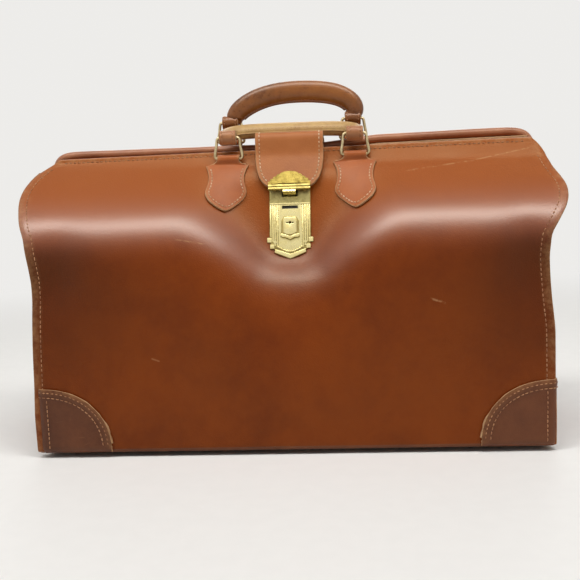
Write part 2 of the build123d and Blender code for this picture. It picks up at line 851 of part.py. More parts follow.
rear_line = lifted(panel_line(rear_dent), fit + tab_thickness / 2 + 0.2)
with BuildPart() as tab_strap:
    with BuildSketch(Plane.YZ.offset(-tab_half_width)):
        with BuildLine():
            FilletPolyline(
                (-fold_depth + tab_thickness / 2 + 0.4, fold_height + 0.2),
                (-4.0, strap_top + 0.2),
                (roll_depth + 5.6, strap_top),
                (rear_line[0][0] - 1.5, roll_height + 1.5),
                rear_line[1],
                rear_line[2],
                lerp(rear_line[2], rear_line[3], 0.5),
                radius=[20, 5, 6, 8, 12],
            )
        trace(line_width=tab_thickness)
    extrude(amount=2 * tab_half_width)
tab_strap.part.label = "tab_strap"
export_step(tab_strap.part, "parts/tab_strap.step")

with BuildPart() as tab_flap:
    with BuildSketch(flap_plane.offset(-tab_thickness / 2)):
        with BuildLine():
            Line((0, 0), (tab_half_width, 0))
            Line((tab_half_width, 0), (tab_half_width - 2, -30))
            Spline(
                (tab_half_width - 2, -30), (tab_half_width - 5, -41), (20, -50),
                (9, -tab_length), tangents=((-0.05, -1), (-1, -0.1)),
            )
            Line((9, -tab_length), (0, -tab_length))
            mirror(about=Plane.YZ)
        make_face()
    extrude(amount=tab_thickness)
    with BuildSketch(Plane.YZ.offset(-tab_half_width)):
        with Locations((-fold_depth, fold_height)):
            Circle(tab_thickness / 2)
    extrude(amount=2 * tab_half_width)
tab_flap.part.label = "tab_flap"
export_step(tab_flap.part, "parts/tab_flap.step")

hasp_seat = tab_thickness / 2
with BuildPart() as hasp_plate:
    with BuildSketch(flap_plane.offset(hasp_seat)):
        with BuildLine():
            h = hasp_half_width
            Polyline(
                (h, -hasp_bottom), (h, -hasp_bottom + 8.6), (h - 1.6, -hasp_bottom + 8.6),
                (h - 1.6, -hasp_bottom + 11.2), (h - 5.2, -hasp_bottom + 14.2),
            )
            ThreePointArc(
                (h - 5.2, -hasp_bottom + 14.2), (h - 11.5, -hasp_top - 1.6), (0, -hasp_top)
            )
            Line((0, -hasp_bottom), (h, -hasp_bottom))
            mirror(about=Plane.YZ)
        make_face()
    extrude(amount=hasp_thickness)
    # two proud bars along the foot
    with BuildSketch(flap_plane.offset(hasp_seat + hasp_thickness)):
        for low, high in ((0.0, 2.2), (3.0, 5.0)):
            with Locations((0, -hasp_bottom + (low + high) / 2)):
                Rectangle(2 * hasp_half_width, high - low)
    extrude(amount=0.8)
hasp_plate.part.label = "hasp_plate"
export_step(hasp_plate.part, "parts/hasp_plate.step")

with BuildPart() as hasp_catch:
    with BuildSketch(flap_plane.offset(hasp_seat + hasp_thickness)):
        with Locations((0, -catch_reach)):
            Rectangle(2 * catch_half_width, catch_thickness)
    extrude(amount=-(hasp_seat + hasp_thickness + catch_depth))
    with BuildSketch(flap_plane.offset(0.8 - tab_stand)):
        with Locations((0, -catch_reach)):
            Rectangle(2 * catch_half_width - 4, catch_thickness + 1)
    extrude(amount=-2.2, mode=Mode.SUBTRACT)
hasp_catch.part.label = "hasp_catch"
export_step(hasp_catch.part, "parts/hasp_catch.step")
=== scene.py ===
from math import cos, pi, radians, sin

import bmesh
import bpy
import numpy as np
from mathutils import Matrix, Vector


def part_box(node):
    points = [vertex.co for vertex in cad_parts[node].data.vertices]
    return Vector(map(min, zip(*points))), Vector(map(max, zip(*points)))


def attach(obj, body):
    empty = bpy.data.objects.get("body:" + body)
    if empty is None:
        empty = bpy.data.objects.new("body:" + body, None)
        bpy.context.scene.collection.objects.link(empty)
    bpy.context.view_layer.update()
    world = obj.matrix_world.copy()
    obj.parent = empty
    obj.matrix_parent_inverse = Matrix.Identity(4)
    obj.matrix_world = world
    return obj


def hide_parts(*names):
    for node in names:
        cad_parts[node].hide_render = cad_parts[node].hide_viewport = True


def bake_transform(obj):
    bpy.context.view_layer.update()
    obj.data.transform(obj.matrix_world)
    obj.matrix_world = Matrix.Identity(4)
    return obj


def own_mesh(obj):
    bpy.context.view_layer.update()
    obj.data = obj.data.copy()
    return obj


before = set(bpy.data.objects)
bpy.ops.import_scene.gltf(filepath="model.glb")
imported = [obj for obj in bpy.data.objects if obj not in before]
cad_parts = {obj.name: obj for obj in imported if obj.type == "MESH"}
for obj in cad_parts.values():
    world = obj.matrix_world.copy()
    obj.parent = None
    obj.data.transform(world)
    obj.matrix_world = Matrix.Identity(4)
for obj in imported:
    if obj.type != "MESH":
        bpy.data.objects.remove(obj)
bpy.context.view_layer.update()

# Sizes below are millimetres unless a note says otherwise. X runs along the bag, the front
# faces -Y and the floor is Z = 0.
mm = 0.001
dice = np.random.default_rng(18)


def smooth(value):
    t = np.clip(value, 0, 1)
    return t * t * (3 - 2 * t)


def unit(vectors):
    return vectors / np.maximum(np.linalg.norm(vectors, axis=-1, keepdims=True), 1e-9)


# Camera: its place and turn were fitted to points of the photograph
shot = dict(place=(54, -892, 255), pitch=7.4, yaw=-3.85, roll=-2.03, lens=55.2, sensor=36)
yaw, pitch, roll = (radians(shot[key]) for key in ("yaw", "pitch", "roll"))
ahead = Vector((sin(yaw) * cos(pitch), cos(yaw) * cos(pitch), -sin(pitch)))
level = Vector((cos(yaw), -sin(yaw), 0))
above = level.cross(ahead)
across = level * cos(roll) + above * sin(roll)
upward = above * cos(roll) - level * sin(roll)
lensData = bpy.data.cameras.new("camera")
lensData.lens, lensData.sensor_width, lensData.clip_start = shot["lens"], shot["sensor"], 0.01
camera = bpy.data.objects.new("camera", lensData)
turn = Matrix((across, upward, -ahead)).transposed().to_4x4()
camera.matrix_world = Matrix.Translation(Vector(shot["place"]) * mm) @ turn
bpy.context.collection.objects.link(camera)
bpy.context.scene.camera = camera
print("camera placed")


def setSockets(tree, made, **sockets):
    # an underscore stands for a space, and i with a number is a socket by its place
    for name, value in sockets.items():
        name = name.replace("_", " ")
        socket = made.inputs[int(name[1:])] if name[1:].isdigit() else made.inputs[name]
        if isinstance(value, bpy.types.NodeSocket):
            tree.links.new(value, socket)
        else:
            socket.default_value = value


def node(tree, kind, settings=None, **sockets):
    made = tree.nodes.new("ShaderNode" + kind)
    for name, value in (settings or {}).items():
        setattr(made, name, value)
    setSockets(tree, made, **sockets)
    return made


def sums(tree, kind, a, b=0.0, c=0.0):
    return node(tree, "Math", {"operation": kind}, i0=a, i1=b, i2=c).outputs[0]


def times(tree, a, b):
    return sums(tree, "MULTIPLY", a, b)


def spread(tree, value, low, high, start=0.0, stop=1.0):
    return node(tree, "MapRange", {"interpolation_type": "SMOOTHSTEP"}, Value=value, From_Min=low,
                From_Max=high, To_Min=start, To_Max=stop).outputs[0]


def blendColours(tree, share, a, b):
    a, b = (value if isinstance(value, bpy.types.NodeSocket) else (*value, 1) for value in (a, b))
    return node(tree, "Mix", {"data_type": "RGBA"}, i0=share, i6=a, i7=b).outputs[2]


def objectPlace(tree):
    return node(tree, "TexCoord").outputs["Object"]


def noise(tree, place, scale, detail, roughness=0.5, distortion=0.0):
    return node(tree, "TexNoise", Vector=place, Scale=scale, Detail=detail, Roughness=roughness,
                Distortion=distortion).outputs[0]


def carried(tree, name):
    # a value that the mesh carries at its points
    return node(tree, "Attribute", {"attribute_name": name}).outputs["Fac"]


def emboss(tree, shader, height, strength, distance=0.0003):
    bump = node(tree, "Bump", Strength=strength, Distance=distance, Height=height)
    tree.links.new(bump.outputs[0], shader.inputs["Normal"])


def newGroup(name, inputs, outputs):
    tree = bpy.data.node_groups.new(name, "ShaderNodeTree")
    for label, default in inputs.items():
        socket = tree.interface.new_socket(label, in_out="INPUT", socket_type="NodeSocketFloat")
        socket.default_value = default
    for label in outputs:
        tree.interface.new_socket(label, in_out="OUTPUT", socket_type="NodeSocketFloat")
    return tree, tree.nodes.new("NodeGroupInput").outputs, tree.nodes.new("NodeGroupOutput")


# calf grain: fine cells with pores, and the slow mottling of an aniline dye
grainGroup, entry, leave = newGroup("calf grain", {"Cells per metre": 900.0}, ("Height", "Mottle", "Cloud"))
tree = grainGroup
place = objectPlace(tree)
cells = node(tree, "TexVoronoi", {"feature": "SMOOTH_F1"}, Vector=place, Scale=entry[0], Smoothness=0.5)
fine = noise(tree, place, times(tree, entry[0], 0.55), 4.0, 0.6)
slow = noise(tree, place, 11.0, 5.0, 0.55, 0.4)
patchy = noise(tree, place, 70.0, 6.0, 0.65)
height = sums(tree, "ADD", times(tree, cells.outputs["Distance"], -0.45), times(tree, fine, 0.8))
mottle = sums(tree, "ADD", times(tree, slow, 0.55), times(tree, patchy, 0.45))
setSockets(tree, leave, Height=height, Mottle=spread(tree, mottle, 0.32, 0.68),
           Cloud=spread(tree, slow, 0.35, 0.65))

# rubbing along edges and seams: a value that each mesh carries, broken up by noise
rubGroup, entry, leave = newGroup("rubbed edges", {"Amount": 1.0}, ("Mask",))
tree = rubGroup
patchy = spread(tree, noise(tree, objectPlace(tree), 130.0, 5.0, 0.7), 0.3, 0.72)
setSockets(tree, leave, Mask=times(tree, times(tree, carried(tree, "wear"), patchy), entry[0]))

# thin scratches in two directions, only where a slow noise lets them show
scratchGroup, entry, leave = newGroup("fine scratches", {"Amount": 1.0}, ("Mask",))
tree = scratchGroup
place = objectPlace(tree)
lines = []
for angle, scale in ((0.35, 34.0), (-0.8, 47.0)):
    turned = node(tree, "Mapping", Vector=place, Rotation=(0, angle, angle), Scale=(0.22, 1.0, 1.0))
    edge = node(tree, "TexVoronoi", {"feature": "DISTANCE_TO_EDGE"}, Vector=turned.outputs[0], Scale=scale)
    lines.append(spread(tree, edge.outputs["Distance"], 0.0, 0.012, 1.0, 0.0))
where = spread(tree, noise(tree, place, 21.0, 2.0), 0.52, 0.66)
broken = spread(tree, noise(tree, place, 160.0, 3.0), 0.45, 0.6)
shown = times(tree, times(tree, sums(tree, "MAXIMUM", *lines), where), broken)
setSockets(tree, leave, Mask=times(tree, shown, entry[0]))

# cast and tarnished metal: a grainy height, dull patches and small dark pits
castGroup, entry, leave = newGroup("cast metal", {"Grains per metre": 1500.0}, ("Height", "Tarnish", "Pits"))
tree = castGroup
place = objectPlace(tree)
dots = node(tree, "TexVoronoi", Vector=place, Scale=times(tree, entry[0], 0.3)).outputs["Distance"]
setSockets(tree, leave, Height=noise(tree, place, entry[0], 3.0, 0.6),
           Tarnish=spread(tree, noise(tree, place, 120.0, 6.0, 0.7, 0.6), 0.36, 0.68),
           Pits=spread(tree, dots, 0.05, 0.16, 1.0, 0.0))


def newMaterial(name):
    made = bpy.data.materials.new(name)
    made.use_nodes = True
    made.node_tree.nodes.clear()
    tree = made.node_tree
    shader = node(tree, "BsdfPrincipled")
    tree.links.new(shader.outputs[0], node(tree, "OutputMaterial").inputs[0])
    return made, tree, shader


def useGroup(tree, group, value):
    made = node(tree, "Group")
    made.node_tree = group
    made.inputs[0].default_value = value
    return made.outputs


# scrapes on the front: start x and z, end x and z, half width, and how much each one shows
scrapeLines = [(110, 254.6, 172, 262, 0.9, 0.9), (170, 261.6, 232, 273, 0.9, 0.8),
               (125, 142, 132, 139.5, 1.4, 1.0), (131, 140, 139, 137, 1.5, 0.9),
               (-104, 201, -76, 195, 1.0, 0.5), (-128, 93, -120, 90, 1.1, 0.6)]


def scraped(tree, place, colour, bare, amount):
    # a few long scratches and scrapes on the front, where the real bag has them
    front = node(tree, "SeparateXYZ", i0=place).outputs
    uneven = spread(tree, noise(tree, place, 240.0, 3.0), 0.35, 0.62)
    frontOnly = spread(tree, front["Y"], -0.02, -0.01, 1.0, 0.0)
    for x0, z0, x1, z1, width, weight in scrapeLines:
        length = ((x1 - x0) ** 2 + (z1 - z0) ** 2) ** 0.5
        c, s = (x1 - x0) / length, (z1 - z0) / length
        dx, dz = sums(tree, "SUBTRACT", front["X"], x0 * mm), sums(tree, "SUBTRACT", front["Z"], z0 * mm)
        lengthwise = sums(tree, "ADD", times(tree, dx, c), times(tree, dz, s))
        off = sums(tree, "ABSOLUTE", sums(tree, "SUBTRACT", times(tree, dz, c), times(tree, dx, s)))
        beyond = sums(tree, "ABSOLUTE", sums(tree, "SUBTRACT", lengthwise, length * mm / 2))
        line = times(tree, spread(tree, off, 0.2 * width * mm, width * mm, 1.0, 0.0),
                     spread(tree, beyond, 0.4 * length * mm, 0.52 * length * mm, 1.0, 0.0))
        line = times(tree, times(tree, line, uneven), frontOnly)
        colour = blendColours(tree, times(tree, line, weight * amount), colour, bare)
    return colour


def hide(name, dark, middle, light, cells=900.0, depth=0.12, rough=(0.36, 0.5), coat=0.2, rub=0.6,
         rubColour=(0.5, 0.27, 0.12), scratches=0.2, gloss=0.35, tint=(1.0, 0.84, 0.66), fadeAndPaintedLight=None,
         polish=0.0, scrapes=0.0):
    made, tree, shader = newMaterial(name)
    place = objectPlace(tree)
    grain = useGroup(tree, grainGroup, cells)
    rubbing = useGroup(tree, rubGroup, rub)["Mask"]
    scratch = useGroup(tree, scratchGroup, scratches)["Mask"]
    colour = blendColours(tree, grain["Cloud"], dark, middle)
    colour = blendColours(tree, times(tree, grain["Mottle"], 0.6), colour, light)
    if fadeAndPaintedLight:
        # the upper part, between two heights in metres, is painted lighter, as painted light from above and
        # as sun fading, and the ends below the ears carry painted shade
        height = node(tree, "SeparateXYZ", i0=place).outputs["Z"]
        fadedAndLit = spread(tree, height, *fadeAndPaintedLight["between"], 0.0, fadeAndPaintedLight["share"])
        colour = blendColours(tree, fadedAndLit, colour, fadeAndPaintedLight["colour"])
        colour = blendColours(tree, times(tree, carried(tree, "painted_end_shade"), fadeAndPaintedLight["endShade"]), colour, fadeAndPaintedLight["dark"])
    colour = blendColours(tree, rubbing, colour, rubColour)
    colour = blendColours(tree, scratch, colour, rubColour)
    if scrapes:
        colour = scraped(tree, place, colour, rubColour, scrapes)
    roughness = sums(tree, "MULTIPLY_ADD", grain["Mottle"], rough[1] - rough[0], rough[0])
    roughness = sums(tree, "ADD", roughness, times(tree, rubbing, 0.2))
    # hands and legs have polished the shoulder
    weight = times(tree, carried(tree, "polish"), polish) if polish else coat
    setSockets(tree, shader, Base_Color=colour, Roughness=roughness, Coat_Weight=weight, Coat_Roughness=0.38,
               Coat_IOR=1.65, Specular_IOR_Level=gloss, Specular_Tint=(*tint, 1.0))
    relief = sums(tree, "SUBTRACT", grain["Height"], times(tree, scratch, 0.6))
    emboss(tree, shader, relief, depth * 4)
    return made


def metal(name, bright, dull, rough=(0.25, 0.5), cast=0.2, grains=1500.0, pits=0.5):
    made, tree, shader = newMaterial(name)
    surface = useGroup(tree, castGroup, grains)
    rubbing = useGroup(tree, rubGroup, 1.0)["Mask"]
    tarnish = times(tree, surface["Tarnish"], sums(tree, "SUBTRACT", 1.0, rubbing))
    dirt = times(tree, surface["Pits"], pits)
    colour = blendColours(tree, tarnish, bright, dull)
    colour = blendColours(tree, dirt, colour, tuple(0.25 * c for c in dull))
    setSockets(tree, shader, Base_Color=colour, Metallic=1.0,
               Roughness=sums(tree, "MULTIPLY_ADD", tarnish, rough[1] - rough[0], rough[0]))
    emboss(tree, shader, sums(tree, "SUBTRACT", surface["Height"], times(tree, dirt, 0.8)), cast * 3)
    return made


bagLeather = hide("bag leather", (0.135, 0.017, 0.0004), (0.172, 0.024, 0.0008), (0.215, 0.038, 0.002),
                  rough=(0.34, 0.43), coat=0.0, gloss=0.36, tint=(1.0, 0.78, 0.42), polish=1.0, depth=0.2,
                  scratches=0.0, scrapes=0.5,
                  # the slope is painted lighter for light from above and for sun fading, and dark is the
                  # painted shade at the ends
                  fadeAndPaintedLight=dict(between=(0.175, 0.25), share=0.8, colour=(0.30, 0.062, 0.004), endShade=0.8,
                            dark=(0.06, 0.006, 0.0003)))
patchLeather = hide("patch leather", (0.07, 0.015, 0.004), (0.105, 0.025, 0.007), (0.165, 0.05, 0.016),
                    rub=0.8, rubColour=(0.34, 0.16, 0.06), coat=0.1)
tabLeather = hide("tab leather", (0.30, 0.085, 0.02), (0.37, 0.115, 0.03), (0.44, 0.155, 0.05),
                  rough=(0.42, 0.56), coat=0.0)
chapeLeather = hide("chape leather", (0.26, 0.055, 0.01), (0.34, 0.08, 0.016), (0.44, 0.125, 0.034),
                    coat=0.0)
rimLeather = hide("rim leather", (0.24, 0.068, 0.022), (0.32, 0.1, 0.036), (0.44, 0.18, 0.085),
                  rough=(0.34, 0.46), coat=0.3)
handleLeather = hide("handle leather", (0.07, 0.014, 0.002), (0.2, 0.052, 0.005), (0.34, 0.11, 0.015),
                     rough=(0.22, 0.34), coat=0.3, rub=0.5, rubColour=(0.42, 0.17, 0.035))
wornLeather = hide("worn grip leather", (0.26, 0.12, 0.035), (0.42, 0.24, 0.08), (0.52, 0.34, 0.14),
                   rough=(0.4, 0.55), rub=0.8, rubColour=(0.6, 0.4, 0.16), depth=0.25)
loopLeather = hide("loop leather", (0.2, 0.06, 0.02), (0.32, 0.115, 0.04), (0.44, 0.19, 0.075),
                   rough=(0.38, 0.5))
plainHide = dict(coat=0.0, rub=0.0, scratches=0.0)
rawEdge = hide("cut leather edge", (0.3, 0.15, 0.06), (0.46, 0.26, 0.13), (0.56, 0.37, 0.2),
               cells=1600.0, depth=0.4, rough=(0.65, 0.8), **plainHide)
fleshSide = hide("flesh side", (0.3, 0.16, 0.08), (0.38, 0.22, 0.12), (0.46, 0.29, 0.17),
                 cells=700.0, depth=0.5, rough=(0.8, 0.92), **plainHide)
brass = metal("lock brass", (0.84, 0.73, 0.36), (0.62, 0.5, 0.19), rough=(0.24, 0.42), cast=0.03, pits=0.2)
castBrass = metal("cast hasp brass", (0.36, 0.27, 0.065), (0.2, 0.14, 0.03), rough=(0.5, 0.68), cast=0.4,
                  grains=1100.0)
haspBrass = metal("hasp bar brass", (0.5, 0.4, 0.13), (0.34, 0.26, 0.08), rough=(0.42, 0.58), cast=0.1,
                  grains=1100.0)
# painted shade: a dark sheet that shows through the keyhole
keyholeShadeBrass = metal("painted shade in the keyhole", (0.05, 0.035, 0.015), (0.025, 0.018, 0.008), rough=(0.6, 0.8),
                  cast=0.05)
# painted shade: the plate's upper strip, duller and darkened for the shade of the hasp above it
shadedStripBrass = metal("strip brass with painted shade", (0.5, 0.42, 0.17), (0.32, 0.26, 0.1), rough=(0.34, 0.55), cast=0.06,
                  pits=0.3)
grooveBrass = metal("groove brass", (0.36, 0.28, 0.1), (0.16, 0.12, 0.04), rough=(0.4, 0.6), cast=0.05,
                    pits=0.4)
ringBrass = metal("ring brass", (0.66, 0.54, 0.32), (0.34, 0.26, 0.13), pits=0.3)
steel = metal("frame steel", (0.36, 0.35, 0.33), (0.2, 0.18, 0.16), rough=(0.35, 0.6))
springSteel = metal("spring steel", (0.5, 0.5, 0.5), (0.36, 0.35, 0.34), rough=(0.22, 0.35), cast=0.05)


def sewingThread(name, soiled, clean):
    # two plies that twist, seen as slanting ridges
    made, tree, shader = newMaterial(name)
    place = objectPlace(tree)
    plies = node(tree, "TexWave", {"bands_direction": "DIAGONAL"}, Vector=place, Scale=420.0,
                 Distortion=1.0).outputs["Fac"]
    colour = blendColours(tree, spread(tree, noise(tree, place, 90.0, 4.0), 0.35, 0.65), soiled, clean)
    colour = blendColours(tree, times(tree, plies, 0.3), colour, tuple(0.5 * c for c in soiled))
    setSockets(tree, shader, Base_Color=colour, Roughness=0.75, Sheen_Weight=0.2)
    emboss(tree, shader, plies, 0.5, 0.0002)
    return made


thread = sewingThread("brown seam thread", (0.26, 0.09, 0.025), (0.5, 0.24, 0.1))
paleThread = sewingThread("pale linen thread", (0.5, 0.28, 0.13), (0.8, 0.6, 0.4))

# lining: a plain weave of drab cotton
liningCloth, tree, shader = newMaterial("lining cotton")
place = objectPlace(tree)
yarns = [node(tree, "TexWave", {"bands_direction": way}, Vector=place, Scale=330.0, Distortion=0.6)
         for way in ("X", "Y", "Z")]
weave, woof, rise = (yarn.outputs["Fac"] for yarn in yarns)
weave = times(tree, sums(tree, "MAXIMUM", weave, woof), rise)
worn = spread(tree, noise(tree, place, 18.0, 5.0), 0.3, 0.7)
colour = blendColours(tree, worn, (0.30, 0.23, 0.14), (0.42, 0.34, 0.22))
colour = blendColours(tree, times(tree, weave, 0.35), colour, (0.2, 0.15, 0.09))
setSockets(tree, shader, Base_Color=colour, Roughness=0.85, Sheen_Weight=0.3)
emboss(tree, shader, weave, 0.4)

# pressed fibre board under the lining
boardMaterial, tree, shader = newMaterial("fibre board")
drawn = node(tree, "Mapping", Vector=objectPlace(tree), Scale=(1, 6, 6)).outputs[0]
fibres = noise(tree, drawn, 140.0, 6.0, 0.7)
colour = blendColours(tree, spread(tree, fibres, 0.3, 0.7), (0.22, 0.14, 0.08), (0.4, 0.28, 0.17))
setSockets(tree, shader, Base_Color=colour, Roughness=0.8)
emboss(tree, shader, fibres, 0.3)
print("materials made")


class Workpiece:
    # gathers the parts of one piece: points, faces, a material number and a wear value
    def __init__(self):
        self.points, self.faces, self.slots, self.wear, self.total = [], [], [], [], 0

    def add(self, points, faces, slot=0, wear=0.0):
        points = np.asarray(points, float).reshape(-1, 3)
        self.points.append(points)
        self.wear.append(np.broadcast_to(np.asarray(wear, float), (len(points),)))
        self.faces += [tuple(int(i) + self.total for i in face) for face in faces]
        self.slots += [slot] * len(faces) if isinstance(slot, int) else list(slot)
        self.total += len(points)

    def make(self, name, materials, smoothTo=48):
        mesh = bpy.data.meshes.new(name)
        mesh.from_pydata((np.concatenate(self.points) * mm).tolist(), [], self.faces)
        mesh.attributes.new("wear", "FLOAT", "POINT").data.foreach_set("value", np.concatenate(self.wear))
        mesh.polygons.foreach_set("material_index", self.slots)
        for material in materials:
            mesh.materials.append(material)
        tidied = bmesh.new()
        tidied.from_mesh(mesh)
        bmesh.ops.delete(tidied, geom=[v for v in tidied.verts if not v.link_faces], context="VERTS")
        bmesh.ops.recalc_face_normals(tidied, faces=tidied.faces)
        tidied.to_mesh(mesh)
        tidied.free()
        mesh.shade_smooth()
        mesh.set_sharp_from_angle(angle=radians(smoothTo))
        piece = bpy.data.objects.new(name, mesh)
        bpy.context.collection.objects.link(piece)
        return piece


def gridFaces(rows, columns, keep=None, wrapped=False):
    faces = []
    for row in range(rows - 1):
        for column in range(columns if wrapped else columns - 1):
            after = (column + 1) % columns
            if keep is None or keep[row, column]:
                faces.append((row * columns + column, row * columns + after,
                              (row + 1) * columns + after, (row + 1) * columns + column))
    return faces


def reverse(faces):
    return [face[::-1] for face in faces]


def pointNormals(points, faces):
    normals = np.zeros_like(points)
    for face in faces:
        corners = points[list(face)]
        if len(face) == 4:
            normal = np.cross(corners[2] - corners[0], corners[3] - corners[1])
        else:
            normal = np.cross(corners[1] - corners[0], corners[2] - corners[0])
        normals[list(face)] += normal
    return unit(normals)


def facing(points, faces, row, columns, column, way):
    # the faces of a grid, turned round if the grain side looks away from way at one of its points
    return reverse(faces) if pointNormals(points, faces)[row * columns + column] @ way < 0 else faces


def thicken(work, points, faces, thickness, slots=(0, 1, 2), bulge=0.4, wear=0.0, plain=None):
    # skin with thickness: grain side, flesh side, and a rounded cut edge between them. The
    # faces run anticlockwise as seen from the grain side. plain marks border points that meet
    # another piece and have no cut edge.
    points = np.asarray(points, float).reshape(-1, 3)
    count = len(points)
    normals = pointNormals(points, faces)
    wayOut = np.zeros_like(points)
    sides = {(a, b) for face in faces for a, b in zip(face, face[1:] + face[:1])}
    border = sorted((a, b) for a, b in sides if (b, a) not in sides)
    for a, b in border:
        side = unit(np.cross(points[b] - points[a], normals[a] + normals[b]))
        wayOut[a] += side
        wayOut[b] += side
    wayOut = unit(wayOut)
    if plain is not None:
        wayOut[plain] = 0
    loops = [points]
    for share, push in ((0.14, 1.0), (0.86, 1.0), (1.0, 0.0)):
        loops.append(points - normals * thickness * share + wayOut * bulge * push)
    walls, wallSlots = [], []
    for a, b in border:
        cut = slots[0] if plain is not None and plain[a] and plain[b] else slots[1]
        for step in range(3):
            walls.append((b + step * count, a + step * count, a + (step + 1) * count, b + (step + 1) * count))
            wallSlots.append(cut)
    back = [tuple(i + 3 * count for i in face) for face in reverse(faces)]
    value = np.broadcast_to(np.asarray(wear, float), (count,))
    work.add(np.concatenate(loops), faces + back + walls,
             [slots[0]] * len(faces) + [slots[2]] * len(back) + wallSlots,
             np.concatenate([value, value, value, value * 0]))


def lengthsOf(path):
    # distance walked up to each point of a line
    return np.concatenate([[0], np.cumsum(np.linalg.norm(np.diff(path, axis=0), axis=1))])


def along(table, lengths, where):
    return np.stack([np.interp(where, lengths, column) for column in table.T], axis=1)


def stitches(work, path, normals, slot, pitch=4.5, share=0.72, radius=0.5, lift=0.1):
    # one short thread after another, each one dipping into the leather at both ends
    both = np.concatenate([np.asarray(path, float), np.asarray(normals, float)], axis=1)
    lengths = lengthsOf(both[:, :3])
    count = max(int(round(lengths[-1] / pitch)), 1)
    step = lengths[-1] / count
    middles = (np.arange(count) + 0.5) * step + dice.uniform(-0.06, 0.06, count) * step
    half = 0.5 * share * step * dice.uniform(0.9, 1.06, count)
    centre, head, tail = (along(both, lengths, middles + half * way) for way in (0, 1, -1))
    normal = unit(centre[:, 3:])
    way = unit((head - tail)[:, :3])
    side = np.cross(way, normal)
    # rings of points: place along the stitch, thickness and height
    ring = 6
    shape = ((-1, 0.4, -0.95), (-0.72, 0.85, 0.05), (0, 1.0, 0.4), (0.72, 0.85, 0.05), (1, 0.4, -0.95))
    points = []
    for place, thick, rise in shape:
        middle = centre[:, :3] + way * (half * place)[:, None] + normal * (lift + rise * radius)
        for a in np.arange(ring) * 2 * pi / ring:
            points.append(middle + (side * cos(a) + normal * sin(a) * 0.8) * radius * thick)
    each = len(points)
    one = gridFaces(len(shape), ring, wrapped=True) + [tuple(range(ring)), tuple(range(each - ring, each))]
    faces = [tuple(i + each * k for i in face) for k in range(count) for face in one]
    work.add(np.stack(points, axis=1), faces, slot, 0.0)


def tube(work, path, radius, sides=14, side=(0, 1, 0), closed=False, slot=0, wear=0.0, power=1.0, cap=0.7):
    # a rod along a path. radius is one number, or (across, up) for each point, and the ends
    # are domed.
    path = np.asarray(path, float)
    count = len(path)
    radii = np.broadcast_to(np.asarray(radius, float).reshape(-1, 1) if np.ndim(radius) == 1 else radius,
                            (count, 2)).astype(float)
    ways = unit(np.roll(path, -1, 0) - np.roll(path, 1, 0) if closed else np.gradient(path, axis=0))
    wear = np.broadcast_to(np.asarray(wear, float), (count,))
    rings = list(zip(path, ways, radii, wear))
    if not closed:
        dome = (0.5, 1.0, 1.35)
        first, last = ([(path[k] + way * ways[k] * radii[k].mean() * cap * sin(a), ways[k], radii[k] * cos(a),
                         wear[k]) for a in dome] for k, way in ((0, -1), (-1, 1)))
        rings = first[::-1] + rings + last
    angles = np.arange(sides) * 2 * pi / sides
    c, s = np.cos(angles), np.sin(angles)
    c, s = np.sign(c) * np.abs(c) ** power, np.sign(s) * np.abs(s) ** power
    points, values = [], []
    for centre, way, size, value in rings:
        one = unit(np.asarray(side, float) - np.dot(side, way) * way)
        two = np.cross(way, one)
        points.append(centre + np.outer(c * size[0], one) + np.outer(s * size[1], two))
        values += [value] * sides
    rows = len(rings)
    faces = gridFaces(rows, sides, wrapped=True)
    if closed:
        faces += [((rows - 1) * sides + i, (rows - 1) * sides + (i + 1) % sides, (i + 1) % sides, i)
                  for i in range(sides)]
    else:
        faces += [tuple(range(sides)), tuple((rows - 1) * sides + i for i in range(sides))]
    work.add(np.concatenate(points), faces, slot, values)


def splineWeights(count, samples, closed=False):
    # how much each control point counts at evenly spaced places of a cubic B-spline
    if closed:
        where = np.arange(samples) * count / samples
        base, t = np.floor(where).astype(int), where % 1
        parts = ((1 - t) ** 3, 3 * t**3 - 6 * t**2 + 4, -3 * t**3 + 3 * t**2 + 3 * t + 1, t**3)
        weights = np.zeros((samples, count))
        for step, part in enumerate(parts):
            weights[np.arange(samples), (base + step) % count] += part / 6
        return weights
    knots = np.concatenate([[0] * 3, np.arange(count - 2), [count - 3] * 3]).astype(float)
    u = np.linspace(0, count - 3 - 1e-9, samples)[:, None]
    basis = ((u >= knots[None, :-1]) & (u < knots[None, 1:])).astype(float)
    for degree in (1, 2, 3):
        size = len(knots) - 1 - degree
        left, right = knots[:size], knots[degree + 1:degree + 1 + size]
        spanLeft, spanRight = knots[degree:degree + size] - left, right - knots[1:1 + size]
        basis = (np.where(spanLeft > 0, (u - left) / np.where(spanLeft > 0, spanLeft, 1), 0) * basis[:, :size]
                 + np.where(spanRight > 0, (right - u) / np.where(spanRight > 0, spanRight, 1), 0)
                 * basis[:, 1:size + 1])
    return basis


def curveThrough(points, samples, closed=False):
    points = np.asarray(points, float)
    return splineWeights(len(points), samples, closed) @ points


# Plane of the lock plate: a point on the leather, the way up and the way out
lockOrigin = np.array([0, -52.5, 210.5])
lockUp, lockOut = np.array([0, 0.3407, 0.9402]), np.array([0, -0.9402, 0.3407])

